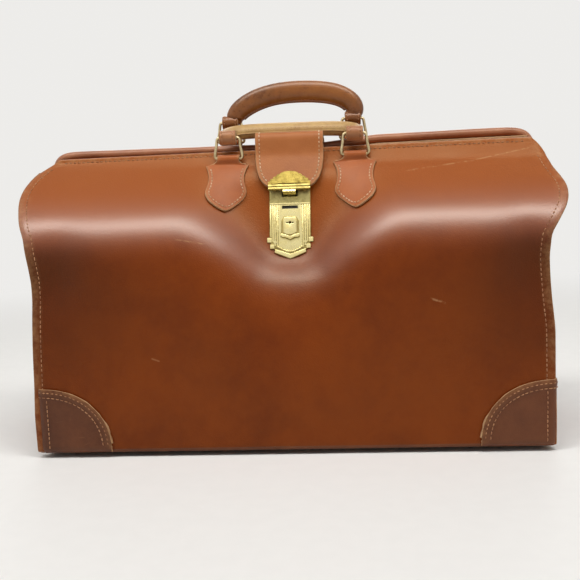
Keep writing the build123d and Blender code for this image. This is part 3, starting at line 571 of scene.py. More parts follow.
# The leather of the two long sides. Each list runs from the rim down to the turned foot as
# (depth, height): where the bag stands full, in the dent behind the lock, and halfway to it.
skin = dict(
    thickness=3.0, samples=101, halfLength=233.0, foot=5.0, top=277.0, rimSamples=12, cutEdge=0.45,
    # half the columns of the grid: close ones that the lock's openings need, then even ones
    nearColumns=[0, 4.5, 9, 13.5, 18, 22.5], evenColumns=44,
    # end seams: how far in, from and to; seam under the rim: height and half length
    seamInset=7.5, seamTop=268, seamFoot=9, rimSeam=273.2, rimSeamHalf=224,
    wornEdge=9, wornRim=2.5, foldWidth=17,
    dentFlat=6.0, dentReach=112.0, dentPower=1.2, rearDent=0.12,
    full=[(0.9, 277), (8, 277), (14, 277), (18.5, 277), (19.6, 276), (20.0, 274.3), (21.2, 272),
          (25.8, 267.4), (33.2, 261), (43, 252.4), (55.4, 242.4), (68, 233), (80, 224.5), (90, 214.5),
          (98, 201), (102.6, 184), (104.3, 166), (104.6, 148), (104.6, 125), (104.4, 95),
          (104.2, 65), (104.1, 35), (104, 14), (104, 8.5), (103.4, 5.6), (101, 5)],
    dented=[(0.9, 277), (8, 277), (14, 277), (18.5, 277), (19.6, 276), (19.9, 274.2),
            (21, 271.6), (24, 266.8), (29.6, 261.8), (36.4, 255.2), (41.3, 241.5),
            (47, 225.7), (52.5, 210.5), (58.3, 194.5), (62.9, 181.8), (68.2, 174.2), (75.6, 168),
            (82.8, 160), (88.8, 149.6), (94.4, 135), (100.6, 113.5), (104.2, 90), (104, 20),
            (104, 8.5), (103.4, 5.6), (101, 5)],
    halfway=[(0.9, 277), (8, 277), (14, 277), (18.5, 277), (19.6, 276), (20, 274.2),
             (21.1, 271.8), (25, 267), (31.6, 261), (38.8, 251.6), (45.4, 240), (52.2, 228.2),
             (59.8, 216.8), (69.2, 207), (79, 197.6), (87.8, 186.6), (94.4, 173), (98.6, 157),
             (101.6, 140), (102.8, 118), (103.6, 78), (104, 24), (104, 14), (104, 8.5),
             (103.4, 5.6), (101, 5)],
    belly=1.8, waves=0.5, hollow=7.5, valley=5.0,
    # heights in the lock's plane, and half width, of the openings for the hasp's catch and the slider
    openings=[(23, 32), (11.5, 16.5), (-21.5, -1.5)], openingHalf=9.0,
    # height of the polished fold where the bag is full, halfway and dented
    fold=[214, 196, 167],
    # how far the rim stands above its level height, front and rear
    rimLift={-1: [(-230, 0.2), (-80, 2.0), (0, 3.0), (105, 4.2), (230, 5.6)],
             1: [(-230, -0.2), (34, 0.2), (84, 5.6), (160, 7.0), (230, 8.0)]},
)
# half length of the silhouette at a height, left end and right end
outline = {
    -1: [(5, 240), (40, 240.5), (66, 239), (120, 237.5), (149, 237.5), (165, 238), (180, 239.3),
         (195, 241.5), (205, 243), (216, 248), (229, 253), (236, 256), (244, 257), (250, 256),
         (256, 253.5), (262, 248.5), (268, 241.5), (273, 232), (277, 227)],
    1: [(5, 236), (40, 236), (62, 235), (112, 234.6), (136, 232.6), (177, 231), (196, 233),
        (208, 240.5), (224, 251), (231, 253.5), (238.5, 254), (246, 250.5), (252, 246.5),
        (262, 243.5), (270, 240), (274, 232), (277, 229)],
}
fullLine, halfwayLine, dentedLine = (np.array(skin[key]) for key in ("full", "halfway", "dented"))
sideWeights = splineWeights(len(fullLine), skin["samples"])


def table(rows, at):
    # a value read from a list of (place, value)
    return np.interp(at, *np.array(rows).T)


def halfLength(end, z):
    return np.mean([table(outline[end], np.clip(np.asarray(z, float) + lift, skin["foot"], skin["top"]))
                    for lift in (-4, -2, 0, 2, 4)], axis=0)


def dentShare(side, x):
    t = np.clip((np.abs(x) - skin["dentFlat"]) / (skin["dentReach"] - skin["dentFlat"]), 0, 1)
    return (0.5 + 0.5 * np.cos(pi * t)) ** skin["dentPower"] * (1 if side < 0 else skin["rearDent"])


def bump(value, middle, width):
    return np.exp(-(((value - middle) / width) ** 2))


def sideMoves(side, x, z):
    # slack in the leather: a slight belly, slow waves, and a hollow with a valley under each ear.
    # It lies still behind the lock, at the rim and at the foot.
    x, z = np.asarray(x, float), np.asarray(z, float)
    out = np.abs(x)
    lock = smooth((48 - out) / 22) * smooth((z - 158) / 14) if side < 0 else 0
    free = smooth((268 - z) / 26) * smooth((z - 12) / 45) * (1 - lock)
    shift = 1.7 if side > 0 else 0.0
    wave = (np.sin(x / 31 + 1.1 + shift) * np.sin(z / 23 + 0.4 + shift)
            + 0.6 * np.sin(x / 17 + 2 + z / 29 + shift))
    belly = np.sin(pi * np.clip((z - 8) / 165, 0, 1)) * (1 - np.clip(out / 240, 0, 1) ** 2)
    hollow = smooth((out - 160) / 70) * bump(z, 158, 30)
    valley = bump(out, 214, 19) * bump(z, 182, 32) * np.where(x > 0, 1.0, 0.8)
    slack = skin["waves"] * wave + skin["belly"] * belly
    return free * slack - skin["hollow"] * hollow - skin["valley"] * valley


def rimLift(side, x, z):
    # the rims aren't quite level: the right half stands a little higher
    return table(skin["rimLift"][side], x) * smooth((np.asarray(z, float) - 263) / 11)


def sideLine(side, x):
    # the three lines mixed on a parabola, so that each one is met in its own place
    s = float(dentShare(side, x))
    full, halfway, dented = (1 - s) * (1 - 2 * s), 4 * s * (1 - s), s * (2 * s - 1)
    return sideWeights @ (fullLine * full + halfwayLine * halfway + dentedLine * dented)


def skinDepth(side, x, z):
    line = sideLine(side, x)[skin["rimSamples"]:][::-1]
    return float(np.interp(z, line[:, 1], line[:, 0])) + float(sideMoves(side, x, z))


def onSkin(side, x, z, lift=0.0):
    # a point on the leather's outer face, raised by lift, and the way out of the leather there
    step = 1.5
    slopeX = (skinDepth(side, x + step, z) - skinDepth(side, x - step, z)) / (2 * step)
    slopeZ = (skinDepth(side, x, z + step) - skinDepth(side, x, z - step)) / (2 * step)
    normal = unit(np.array([-slopeX, side, -slopeZ]))
    return np.array([x, side * skinDepth(side, x, z), z]) + normal * lift, normal


def skinPath(side, points, lift=0.0):
    both = [onSkin(side, x, z, lift) for x, z in points]
    return np.array([b[0] for b in both]), np.array([b[1] for b in both])


def sideLeather(side, name, replaced):
    near = skin["nearColumns"]
    half = np.array(near + list(np.linspace(near[-1], skin["halfLength"], skin["evenColumns"])[1:]))
    columns = np.concatenate([-half[::-1][:-1], half])
    points = np.zeros((skin["samples"], len(columns), 3))
    for k, column in enumerate(columns):
        depth, z = sideLine(side, column).T
        end = -1 if column < 0 else 1
        reach = (halfLength(end, z) - skin["halfLength"]) * abs(column / skin["halfLength"]) ** 3
        x = column + end * reach
        depth = depth + sideMoves(side, x, z) * (z < skin["top"] - 1)
        points[:, k] = np.stack([x, side * depth, z + rimLift(side, x, z)], axis=1)
    keep = np.ones((skin["samples"] - 1, len(columns) - 1), bool)
    if side < 0:
        middle = (points[:-1, :-1] + points[1:, 1:]) / 2
        up = (middle[..., 2] - lockOrigin[2]) / lockUp[2]
        behind = np.any([(up > low) & (up < high) for low, high in skin["openings"]], axis=0)
        keep &= ~((np.abs(middle[..., 0]) < skin["openingHalf"]) & behind)
    edge = 1 - np.clip((skin["halfLength"] - np.abs(columns)) / skin["wornEdge"], 0, 1)
    rim = bump(points[:, 0, 2], skin["top"] - 1, skin["wornRim"])
    wear = np.maximum(edge[None, :] * 0.7, rim[:, None] * 0.8)
    flat = points.reshape(-1, 3)
    faces = gridFaces(skin["samples"], len(columns), keep)
    if side < 0:
        faces = reverse(faces)
    turned = flat[:, 2] < skin["foot"] + 0.3
    work = Workpiece()
    thicken(work, flat, faces, skin["thickness"], (0, 1, 2), skin["cutEdge"], wear.ravel(), turned)
    # stitching down both ends, and under the rim
    for end in (-1, 1):
        heights = np.linspace(skin["seamTop"], skin["seamFoot"], 90)
        inset = halfLength(end, heights) - skin["seamInset"]
        stitches(work, *skinPath(side, [(end * x, z) for x, z in zip(inset, heights)]), 3)
    half = skin["rimSeamHalf"]
    rim = skinPath(side, [(x, skin["rimSeam"]) for x in np.linspace(-half, half, 120)])[0]
    rim[:, 2] += rimLift(side, rim[:, 0], skin["top"] - 1)
    stitches(work, rim, [(0, side, 0.1)] * len(rim), 3)
    piece = work.make(name, [bagLeather, rawEdge, fleshSide, thread])
    x, _, z = np.array([v.co for v in piece.data.vertices]).T / mm
    dent = dentShare(side, x)
    polished = bump(z, np.interp(dent, [0, 0.5, 1], skin["fold"]), skin["foldWidth"]) * (1 - 0.6 * dent**2)
    # painted shade: the wall is darker towards both ends below the shoulder, where the ears shade it
    endShade = smooth((np.abs(x) - 90) / 140) * smooth((215 - z) / 30) * smooth((z - 40) / 120)
    for label, values in (("polish", polished), ("painted_end_shade", endShade)):
        marks = piece.data.attributes.new(label, "FLOAT", "POINT")
        marks.data.foreach_set("value", values.astype(np.float32))
    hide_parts(*replaced)
    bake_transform(piece)


sideLeather(-1, "front_leather", ("front_panel", "front_panel_top"))
sideLeather(1, "rear_leather", ("rear_panel", "rear_panel_top"))
print("side leathers made")

# The end leathers: a face between the two sides, and a flange at each edge that is sewn
# behind the side leather. Each end has a front and a rear half that meet in the middle.
ends = dict(
    thickness=3.0, foot=5.0, top=263.0, rows=66, faceColumns=15, cornerColumns=5, flangeColumns=4,
    lowFace=232.9, flange=10.0, cornerRadius=4.0, notchFoot=208.0, notchWidth=0.72,
    # how deep the pleat is and how wide, and the heights between which it and the flare set in
    pleat=2.2, pleatWidth=7, pleatStart=(90, 150), flareStart=(100, 140), cutEdge=0.35,
    # half length at the middle of the end, at a height
    middle=[(5, 232.9), (104, 233.2), (160, 238), (190, 243), (216, 245.5), (236, 247.5), (250, 248.5),
            (263, 247)],
)


def setsIn(z, between):
    return float(smooth((z - between[0]) / (between[1] - between[0])))


def endLeather(end, side, name, replaced):
    low, gap = ends["lowFace"], 2 * ends["thickness"] + 0.1
    grid = []
    for z in np.linspace(ends["foot"], ends["top"], ends["rows"]):
        reach = float(halfLength(end, z)) - 0.5
        edgeX = min(low + (reach - ends["flange"] - low) * setsIn(z, ends["flareStart"]), reach - 1.2)
        corner = min(ends["cornerRadius"], 0.75 * (reach - edgeX))
        height = min(z, ends["top"] - 1)
        bend = skinDepth(side, end * (edgeX + corner), height) - gap - corner
        notch = min(max(z - ends["notchFoot"], 0) * ends["notchWidth"], bend - 1.5)
        middle = max(min(table(ends["middle"], z), reach - 0.5), edgeX)
        # the bowed face with its pleat, the corner, and the flange
        row = []
        for depth in np.linspace(notch, bend, ends["faceColumns"] + 1):
            bow = (middle - edgeX) * (1 - (depth / bend) ** 2)
            pleat = ends["pleat"] * bump(depth, 0, ends["pleatWidth"]) * setsIn(z, ends["pleatStart"])
            row.append((end * (edgeX + bow - pleat), side * depth, z))
        for angle in np.linspace(0, pi / 2, ends["cornerColumns"] + 1)[1:]:
            row.append((end * (edgeX + corner - corner * cos(angle)), side * (bend + corner * sin(angle)), z))
        for x in np.linspace(edgeX + corner, reach, ends["flangeColumns"] + 1)[1:]:
            row.append((end * x, side * (skinDepth(side, end * x, height) - gap), z))
        grid.append(row)
    rows, columns = len(grid), len(grid[0])
    flat = np.array(grid).reshape(-1, 3)
    faces = facing(flat, gridFaces(rows, columns), rows // 4, columns, 4, (end, 0, 0))
    work = Workpiece()
    inMiddle = np.abs(flat[:, 1]) < 0.01
    thicken(work, flat, faces, ends["thickness"], (0, 1, 2), ends["cutEdge"], 0.1, inMiddle)
    piece = work.make(name, [bagLeather, rawEdge, fleshSide])
    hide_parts(*replaced)
    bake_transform(piece)
    # a share for each point, from its depth against the seam along the side leather, and none below 186 mm
    at = np.array([v.co for v in piece.data.vertices]) / mm
    seam = np.array([skinDepth(side, end * 232, z) - 4 for z in np.clip(at[:, 2], 8, 262)])
    share = smooth((100 - seam) / 34) * smooth(np.abs(at[:, 1]) / seam)
    share[at[:, 2] < 186] = 0


for end, word in ((-1, "left"), (1, "right")):
    for side, half, jaw in ((-1, "front", "front_jaw"), (1, "rear", "rear_jaw")):
        endLeather(end, side, f"{word}_end_{half}_half", (f"{word}_gusset", f"{word}_gusset_fold"))
print("end leathers made")

# Corner patches: a leather moulded round each lower corner, with a raised band and two rows
# of stitching along its rounded edge
patch = dict(
    thickness=2.0, foot=5.2, height=61.0, reach=68.0, wrap=45.0, corner=237.2, curve=2.3, rows=26,
    bandWidth=7.5, bandRise=0.7, stitchRows=(3.2, 7.8), cornerRadius=6.0, cornerRise=0.7, sink=2.4,
    turn=7.0, clearance=0.15, wallEnd=229, seamInset=9.5, seamTop=56, seamFoot=9,
)


def patchPlan(end, side, s, z):
    # where the patch's outer face is at a distance s from its inner edge on the long side: the
    # wall, then the rounded corner, then the end, where it sinks onto the end leather
    turnStart = patch["reach"] - patch["turn"]
    wallX = patch["corner"] - patch["reach"]
    depth = skinDepth(side, end * min(wallX + s, patch["wallEnd"]), z) + patch["thickness"]
    depth += patch["clearance"]
    radius = patch["cornerRadius"]
    angle = min(max(s - turnStart, 0) / radius, pi / 2)
    past = max(s - turnStart - radius * pi / 2, 0)
    x = wallX + min(s, turnStart) + (radius + patch["cornerRise"]) * sin(angle)
    x -= patch["sink"] * float(smooth((past - 1) / 9))
    return np.array([end * x, side * (depth - radius * (1 - cos(angle)) - past), z])


def gapTo(points, line):
    # how far each point of a plan is from a line
    return np.sqrt(((points[:, None, :] - line[None, :, :]) ** 2).sum(2)).min(1)


def cornerPatch(end, side, name, stands):
    total = patch["reach"] + patch["wrap"]
    power = 2 / patch["curve"]
    angles = np.radians(np.linspace(7, 90, 26))
    places = list(patch["reach"] * (1 - np.cos(angles) ** power))
    places += list(patch["reach"] + patch["wrap"] * np.cos(angles[::-1]) ** power)
    places = sorted(set(np.round(places + list(np.arange(58, 80, 1.5)), 2)))  # closer at the corner
    places = np.array([p for k, p in enumerate(places) if k == 0 or p - places[k - 1] > 0.25])

    def topAt(s):
        past = s - patch["reach"]
        share = np.clip(np.where(past < 0, -past / patch["reach"], past / patch["wrap"]), 0, 1)
        return patch["foot"] + patch["height"] * (1 - share ** patch["curve"]) ** (1 / patch["curve"])

    fineS = np.linspace(0.2, total - 0.2, 400)
    rimLine = np.stack([fineS, topAt(fineS)], axis=1)
    shares = 1 - np.linspace(1, 0, patch["rows"]) ** 1.5
    foot = patch["foot"]
    flat = np.array([(s, foot + (topAt(s) - foot) * share) for share in shares for s in places])
    gap = gapTo(flat, rimLine[::2])
    raised = patch["bandRise"] * np.sin(pi * np.clip(gap / patch["bandWidth"], 0, 1)) ** 0.8
    placed = np.array([patchPlan(end, side, s, z) for s, z in flat])
    faces = facing(placed, gridFaces(len(shares), len(places)), 5, len(places), 12, (0, side, 0))
    placed += pointNormals(placed, faces) * raised[:, None]
    work = Workpiece()
    thicken(work, placed, faces, patch["thickness"], (0, 1, 1), 0.35, np.exp(-gap / 2.5) * 0.9)

    def patchStitches(line):
        spots, nextS, nextZ = (np.array([patchPlan(end, side, s + ds, z + dz) for s, z in line])
                               for ds, dz in ((0, 0), (0.5, 0), (0, 0.5)))
        normals = unit(np.cross(nextS - spots, nextZ - spots))
        normals *= np.sign(normals @ (end, side, 0))[:, None]
        stitches(work, spots + normals * 0.35, normals, 2, pitch=4.2)

    tangent = unit(np.gradient(rimLine, axis=0))
    inward = np.stack([tangent[:, 1], -tangent[:, 0]], axis=1)
    for inset in patch["stitchRows"]:
        line = rimLine + inward * inset
        inside = (line[:, 1] > 8) & (line[:, 0] > 0) & (line[:, 0] < total)
        patchStitches(line[inside & (gapTo(line, rimLine[::3]) > inset - 0.4)])
    seamS = patch["reach"] - patch["seamInset"]
    patchStitches([(seamS, z) for z in np.linspace(patch["seamTop"], patch["seamFoot"], 20)])
    piece = work.make(name, [patchLeather, rawEdge, thread])
    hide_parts(stands)
    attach(piece, "body")


for end, word in ((-1, "left"), (1, "right")):
    for side, half in ((-1, "front"), (1, "rear")):
        cornerPatch(end, side, f"{half}_{word}_corner", f"{half}_{word}_patch")
print("corner patches made")


def nodeBox(name):
    return [np.array(corner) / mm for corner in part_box(name)]


# Base leather under the board
base = dict(thickness=3.0, stitchInset=3.5)
low, high = nodeBox("base_panel")
xs, ys = (np.linspace(low[k] + 0.3, high[k] - 0.3, count) for k, count in ((0, 60), (1, 30)))
points = np.array([(x, y, low[2]) for y in ys for x in xs])
work = Workpiece()
thicken(work, points, reverse(gridFaces(len(ys), len(xs))), base["thickness"], (0, 0, 2), 0.2)
for end in (-1, 1):
    sewnX, sewnY = (end * (high[k] - base["stitchInset"]) for k in (0, 1))
    widthwise, lengthwise = (np.linspace(low[k] + 6, high[k] - 6, 20) for k in (1, 0))
    for line in ([(sewnX, y, low[2]) for y in widthwise], [(x, sewnY, low[2]) for x in lengthwise]):
        stitches(work, line, [(0, 0, -1)] * 20, 3, lift=0.0)
piece = work.make("base_leather", [patchLeather, rawEdge, fleshSide, thread])
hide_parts("base_panel")
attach(piece, "body")

# Lining: one cloth over the board and up the four walls, with soft creases in its corners
lining = dict(thickness=1.0, floorRings=16, wallRings=16, around=128, crease=0.9, squareness=14,
              wallHeight=89.0, lift=1.2)
low, high = nodeBox("lining")
halfX, halfY = high[0] - 0.2, high[1] - 0.2


def liningPlan(angle, inset):
    # a rounded rectangle, walked round by angle
    c, s = cos(angle), sin(angle)
    a, b, power = halfX - inset, halfY - inset, lining["squareness"]
    stretch = (abs(c / a) ** power + abs(s / b) ** power) ** (-1 / power)
    return c * stretch, s * stretch


# the same number of points on each of the four sides
bend, around = np.arctan2(halfY, halfX), lining["around"]
marks = [-bend, bend, pi - bend, pi + bend, 2 * pi - bend]
angles = np.interp(np.arange(around) * 4 / around, range(5), marks)
floorHeight = low[2] + lining["lift"]
rings = []
for k in range(1, lining["floorRings"] + 1):
    share = (k / lining["floorRings"]) * 0.985
    rings += [(*(np.array(liningPlan(a, 0)) * share), floorHeight) for a in angles]
for k in range(1, lining["wallRings"] + 1):
    share = k / lining["wallRings"]
    rise = share * (high[2] - floorHeight - 0.2)
    for a in angles:
        crease = lining["crease"] * (0.5 + 0.5 * sin(9 * a + 2.2 * share)) * (1 - 0.6 * share)
        rings.append((*liningPlan(a, crease + 0.9), floorHeight + rise))
flat = np.array([(0, 0, floorHeight)] + rings)
ringCount = lining["floorRings"] + lining["wallRings"]
faces = [(0, 1 + k, 1 + (k + 1) % around) for k in range(around)]
faces += [tuple(i + 1 for i in face[:1] + face[:0:-1]) for face in gridFaces(ringCount, around, wrapped=True)]
work = Workpiece()
thicken(work, flat, faces, lining["thickness"], (0, 0, 0), 0.1)
piece = work.make("cotton_lining", [liningCloth])
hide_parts("lining")
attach(piece, "body")
print("base and lining made")

# Piping rolled over the rear rim and down its corners
roll = dict(
    radius=4.6, depth=6.9, flatten=0.96,
    path=[(-239, 259), (-239, 264), (-239, 269), (-238, 274), (-234.5, 278.6), (-228, 281.2), (-218, 282),
          (-190, 282), (-150, 281.7), (-80, 281.9), (0, 282), (30, 282), (60, 282), (84, 282), (150, 282.1),
          (200, 282), (214, 282), (223, 281), (229.6, 278.3), (233.4, 273.6), (234.8, 268), (235, 263),
          (235, 258)],
)
line = curveThrough(roll["path"], 200)
line[:, 1] += rimLift(1, line[:, 0], line[:, 1] + 4) - 0.6
work = Workpiece()
lump = 1 + 0.018 * np.sin(line[:, 0] / 13) + 0.015 * np.sin(line[:, 0] / 31 + 1)
path = np.stack([line[:, 0], np.full(len(line), roll["depth"]), line[:, 1]], axis=1)
tube(work, path, np.outer(roll["radius"] * lump, (1, roll["flatten"])), 18, (0, 1, 0), wear=0.25)
seam = np.array([(x, roll["depth"] + 3.6, 278.6 + rimLift(1, x, 280)) for x in np.linspace(-214, 212, 90)])
stitches(work, seam, [(0, 0.8, -0.6)] * 90, 1)
piece = work.make("rim_piping", [rimLeather, thread])
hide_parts("rear_rim_roll")
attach(piece, "rear_jaw")

# Lock tab: one strap from the rear panel over both rims, with the flap at its end
tab = dict(
    thickness=3.2, flap=53.5, columns=22, inset=3.6,
    # depth and height of the strap from the rear panel to the fold
    strap=[(63.5, 234.2), (55, 241.6), (47, 248.6), (39, 254.6), (31, 259.4), (26.2, 263.6), (24.4, 269),
           (22.8, 276), (20.6, 282.5), (17, 286.8), (12, 288.6), (5, 289), (-3, 289), (-9.5, 289.7),
           (-15.5, 292), (-20.3, 294.3), (-24.8, 294.2), (-27.6, 290.8), (-28.2, 285.8), (-28.8, 280.4)],
    # half width at a distance down from the fold
    half=[(0, 32.4), (20, 32.2), (30, 31.2), (36, 29.8), (41, 28), (45, 25.4), (48, 22.6), (50.5, 19),
          (52.3, 15), (53.2, 11), (53.5, 8)],
)
foldPoint = np.array([0, -22.0, 287.4])
flapWay = unit(np.array([0, -0.4954, -0.8687]))
flapOut = np.array([0, -0.8687, 0.4954])
flapLine = [tuple((foldPoint + flapWay * d)[1:]) for d in (16, 23, 30, 37, 44, 50, tab["flap"])]
middleLine = curveThrough(tab["strap"] + flapLine, 150)
fromFold = (middleLine - foldPoint[1:]) @ flapWay[1:]
fromFold = np.where(middleLine[:, 0] < foldPoint[1], fromFold, -1)
strapOut = unit(np.stack([np.gradient(middleLine[:, 1]), -np.gradient(middleLine[:, 0])], axis=1))
outer = middleLine + strapOut * tab["thickness"] / 2
flat, wear = [], []
for down, (depth, z) in zip(fromFold, outer):
    half = float(table(tab["half"], down))
    for share in np.linspace(-1, 1, tab["columns"]):
        sag = 0.15 * (1 - share**2) if -15 < depth < 15 else 0
        flat.append((half * share, depth, z - sag))
        wear.append(float(smooth(1 - half * (1 - abs(share)) / 5)) * 0.8)
flat = np.array(flat)
faces = facing(flat, gridFaces(len(outer), tab["columns"]), 130, tab["columns"], 10, flapOut)
work = Workpiece()
thicken(work, flat, faces, tab["thickness"], (0, 1, 2), 0.4, wear)
sewn = np.flatnonzero(fromFold < 50.6)[6:]
for end in (-1, 1):
    line = []
    for down, (depth, z) in zip(fromFold[sewn], outer[sewn]):
        inset = tab["inset"] * (1 + 0.25 * float(smooth((max(down, 0) - 36) / 14)))
        line.append((end * (table(tab["half"], down) - inset), depth, z))
    stitches(work, line, [(0, *strapOut[row]) for row in sewn], 3, pitch=3.9, radius=0.6)
piece = work.make("lock_tab", [tabLeather, rawEdge, fleshSide, paleThread])
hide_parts("tab_strap", "tab_flap")
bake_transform(piece)
print("rim piping and lock tab made")

# Ring carriers: chape, wire ring, end loops and handle, at the front and at the rear
carrier = dict(
    spacing=62.0, thickness=2.2, loopRadius=3.95, tip=222.6, leafTop=264.0,
    # half width of the chape's leaf at a height, and of its shoulder at a distance up the neck
    leaf=[(222.6, 0.9), (223.8, 3.8), (225.6, 7.0), (228.8, 11.4), (232.6, 15.8), (236.4, 18.2),
          (239.4, 18.8), (242.4, 18.2), (246, 16.9), (250, 16.3), (254, 16.4), (257.6, 17.3), (260.6, 18.4),
          (262.6, 19.4), (264, 20.2)],
    shoulder=[(0, 19.9), (0.7, 16.6), (1.6, 13.2), (2.8, 11.3), (4.5, 10.4)],
    clearance=0.35, stitchInset=2.7,
    wire=1.45, footHalf=12.5, headHalf=10.5, rise=20.0, drumRadius=7.1, drumHalf=8.0,
)
# ring foot and the way that the handle stands, for the front (lying back) and the rear
carrierPlaces = {
    -1: dict(word="front", foot=(-27.0, 272.0), angle=13.5, jaw="front_jaw", shift={-1: 3.0, 1: 1.0}),
    1: dict(word="rear", foot=(22.5, 289.0), angle=90.0, jaw="rear_jaw", shift={-1: 0.0, 1: 0.0}),
}


def chape(side, end, place):
    middle, shift = end * carrier["spacing"] + 0.5 * place["shift"][end], 0.5 * place["shift"][end]
    tip, leafTop, radius, lift = (carrier[key] for key in ("tip", "leafTop", "loopRadius", "thickness"))
    lift += carrier["clearance"]
    heights = np.concatenate([[tip], np.linspace(tip + 1, leafTop, 30)])
    shares = np.linspace(-1, 1, 15)
    widths = [float(table(carrier["leaf"], z)) for z in heights]
    rows = [[onSkin(side, middle + half * share, z, lift)[0] for share in shares]
            for half, z in zip(widths, heights)]
    # the neck leaves the leaf on a smooth line and turns round the foot of the ring
    start, before = (np.array([abs(rows[k][7][1]), rows[k][7][2]]) for k in (-1, -3))
    ringDepth, ringHeight = abs(place["foot"][0]), place["foot"][1]
    goal = np.array([ringDepth + radius, ringHeight - 0.5])
    reach = 0.35 * np.linalg.norm(goal - start)
    pulls = [start, start + unit(start - before) * reach, goal - np.array([0, reach]), goal]
    neck = [sum(share * point for share, point in
                zip(((1 - t) ** 3, 3 * t * (1 - t) ** 2, 3 * t * t * (1 - t), t**3), pulls))
            for t in np.linspace(0, 1, 11)[1:]]
    smoothCount = len(neck)
    neck += [np.array([ringDepth + radius * cos(angle), ringHeight + radius * sin(angle)])
             for angle in np.radians(np.linspace(15, 200, 12))]
    for k, spot in enumerate(neck):
        climbed = float(np.linalg.norm(spot - start)) if k < smoothCount else 99
        half = float(table(carrier["shoulder"], climbed))
        lean = middle + shift * min(climbed / 8, 1)
        rows.append([(lean + half * share, side * spot[0], spot[1]) for share in shares])
        widths.append(half)
    flat = np.array(rows).reshape(-1, 3)
    faces = facing(flat, gridFaces(len(rows), len(shares)), 15, len(shares), 7, (0, side, 0))
    wear = [float(smooth(1 - half * (1 - abs(share)) / 4)) * 0.7 for half in widths for share in shares]
    work = Workpiece()
    thicken(work, flat, faces, carrier["thickness"], (0, 1, 2), 0.35, wear)
    # stitching just inside the leaf's edge, from one ear round the tip to the other
    leafEdge = list(zip(widths, heights))
    edge = np.array([(-w, z) for w, z in leafEdge[::-1]] + leafEdge)
    lengths = lengthsOf(edge)
    edge = along(edge, lengths, np.linspace(0, lengths[-1], 120))
    tangent = unit(np.gradient(edge, axis=0))
    inner = edge + np.stack([-tangent[:, 1], tangent[:, 0]], axis=1) * carrier["stitchInset"]
    inner = inner[(inner[:, 1] > tip + 3.2) & (inner[:, 1] < leafTop - 2)]
    path, normals = skinPath(side, [(middle + x, z) for x, z in inner], lift)
    lowest = int(np.argmin(inner[:, 1]))
    for part in (slice(0, lowest + 1), slice(lowest, len(inner))):
        stitches(work, path[part], normals[part], 3, pitch=3.6, radius=0.58)
    word = "left" if end < 0 else "right"
    piece = work.make(f"{place['word']}_{word}_chape_leather", [chapeLeather, rawEdge, fleshSide, paleThread])
    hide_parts(f"{place['word']}_{word}_chape")
    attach(piece, place["jaw"])


def wireRing(side, end, place):
    foot, head, rise = carrier["footHalf"], carrier["headHalf"], carrier["rise"]
    half = [(0, 0), (6, 0), (foot - 2.4, -0.1), (foot + 0.3, 0.4), (foot + 0.9, 3.0), (foot + 0.2, 7),
            (foot - 0.8, 11.5), (head + 0.7, 16), (head + 0.3, 18.8), (head - 1.0, rise + 0.25),
            (head - 4, rise), (3, rise), (0, rise)]
    line = curveThrough(half + [(-x, z) for x, z in half[-2:0:-1]], 96, closed=True)
    y, z = place["foot"]
    middle = end * carrier["spacing"] + place["shift"][end]
    path = np.stack([middle + line[:, 0], np.full(len(line), y), z + line[:, 1]], axis=1)
    work = Workpiece()
    tube(work, path, carrier["wire"], 12, (0, 1, 0), closed=True, wear=0.5)
    word = "left" if end < 0 else "right"
    piece = work.make(f"{place['word']}_{word}_wire_ring", [ringBrass])
    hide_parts(f"{place['word']}_{word}_ring")
    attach(piece, f"{place['word']}_rings")


def endLoops(side, place, material):
    # two small leather barrels round the heads of the rings, open in the middle for the wire
    work = Workpiece()
    y, z = place["foot"][0], place["foot"][1] + carrier["rise"]
    half, radius, bore = carrier["drumHalf"], carrier["drumRadius"], carrier["wire"] + 0.3
    # place along the barrel and radius there, from one end to the middle
    shape = [(-half, bore), (-half, 4.5), (-half, radius - 1.3), (-half + 0.3, radius - 0.4),
             (-half + 1.0, radius - 0.05), (-half + 2.0, radius - 0.1), (-half + 2.8, radius - 0.55),
             (-half + 4.4, radius - 0.2), (0, radius)]
    shape += [(-x, r) for x, r in shape[-2::-1]]
    turns = np.arange(28) * 2 * pi / 28
    last = (len(shape) - 1) * len(turns)
    # the two ends and the bore show the cut edge
    cutRows = [0, 1, 2, len(shape) - 4, len(shape) - 3, len(shape) - 2, len(shape) - 1]
    for end in (-1, 1):
        middle = end * carrier["spacing"] + place["shift"][end]
        points = [(middle + x, y + r * cos(a), z + r * sin(a)) for x, r in shape for a in turns]
        faces = gridFaces(len(shape), len(turns), wrapped=True)
        faces += [(last + k, last + (k + 1) % len(turns), (k + 1) % len(turns), k) for k in range(len(turns))]
        work.add(points, faces, [int(k // len(turns) in cutRows) for k in range(len(faces))], 0.3)
        for lip in (-1, 1):
            x = middle + lip * (half - 2.6)
            ways = [(0, cos(a), sin(a)) for a in np.linspace(0, 2 * pi, 40)]
            line = [(x, y + (radius - 0.45) * c, z + (radius - 0.45) * s) for _, c, s in ways]
            stitches(work, line, ways, 2, pitch=3.5, radius=0.45)
    piece = work.make(f"{place['word']}_end_loops", [material, rawEdge, thread])
    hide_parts(f"{place['word']}_handle_loops")
    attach(piece, f"{place['word']}_grip")


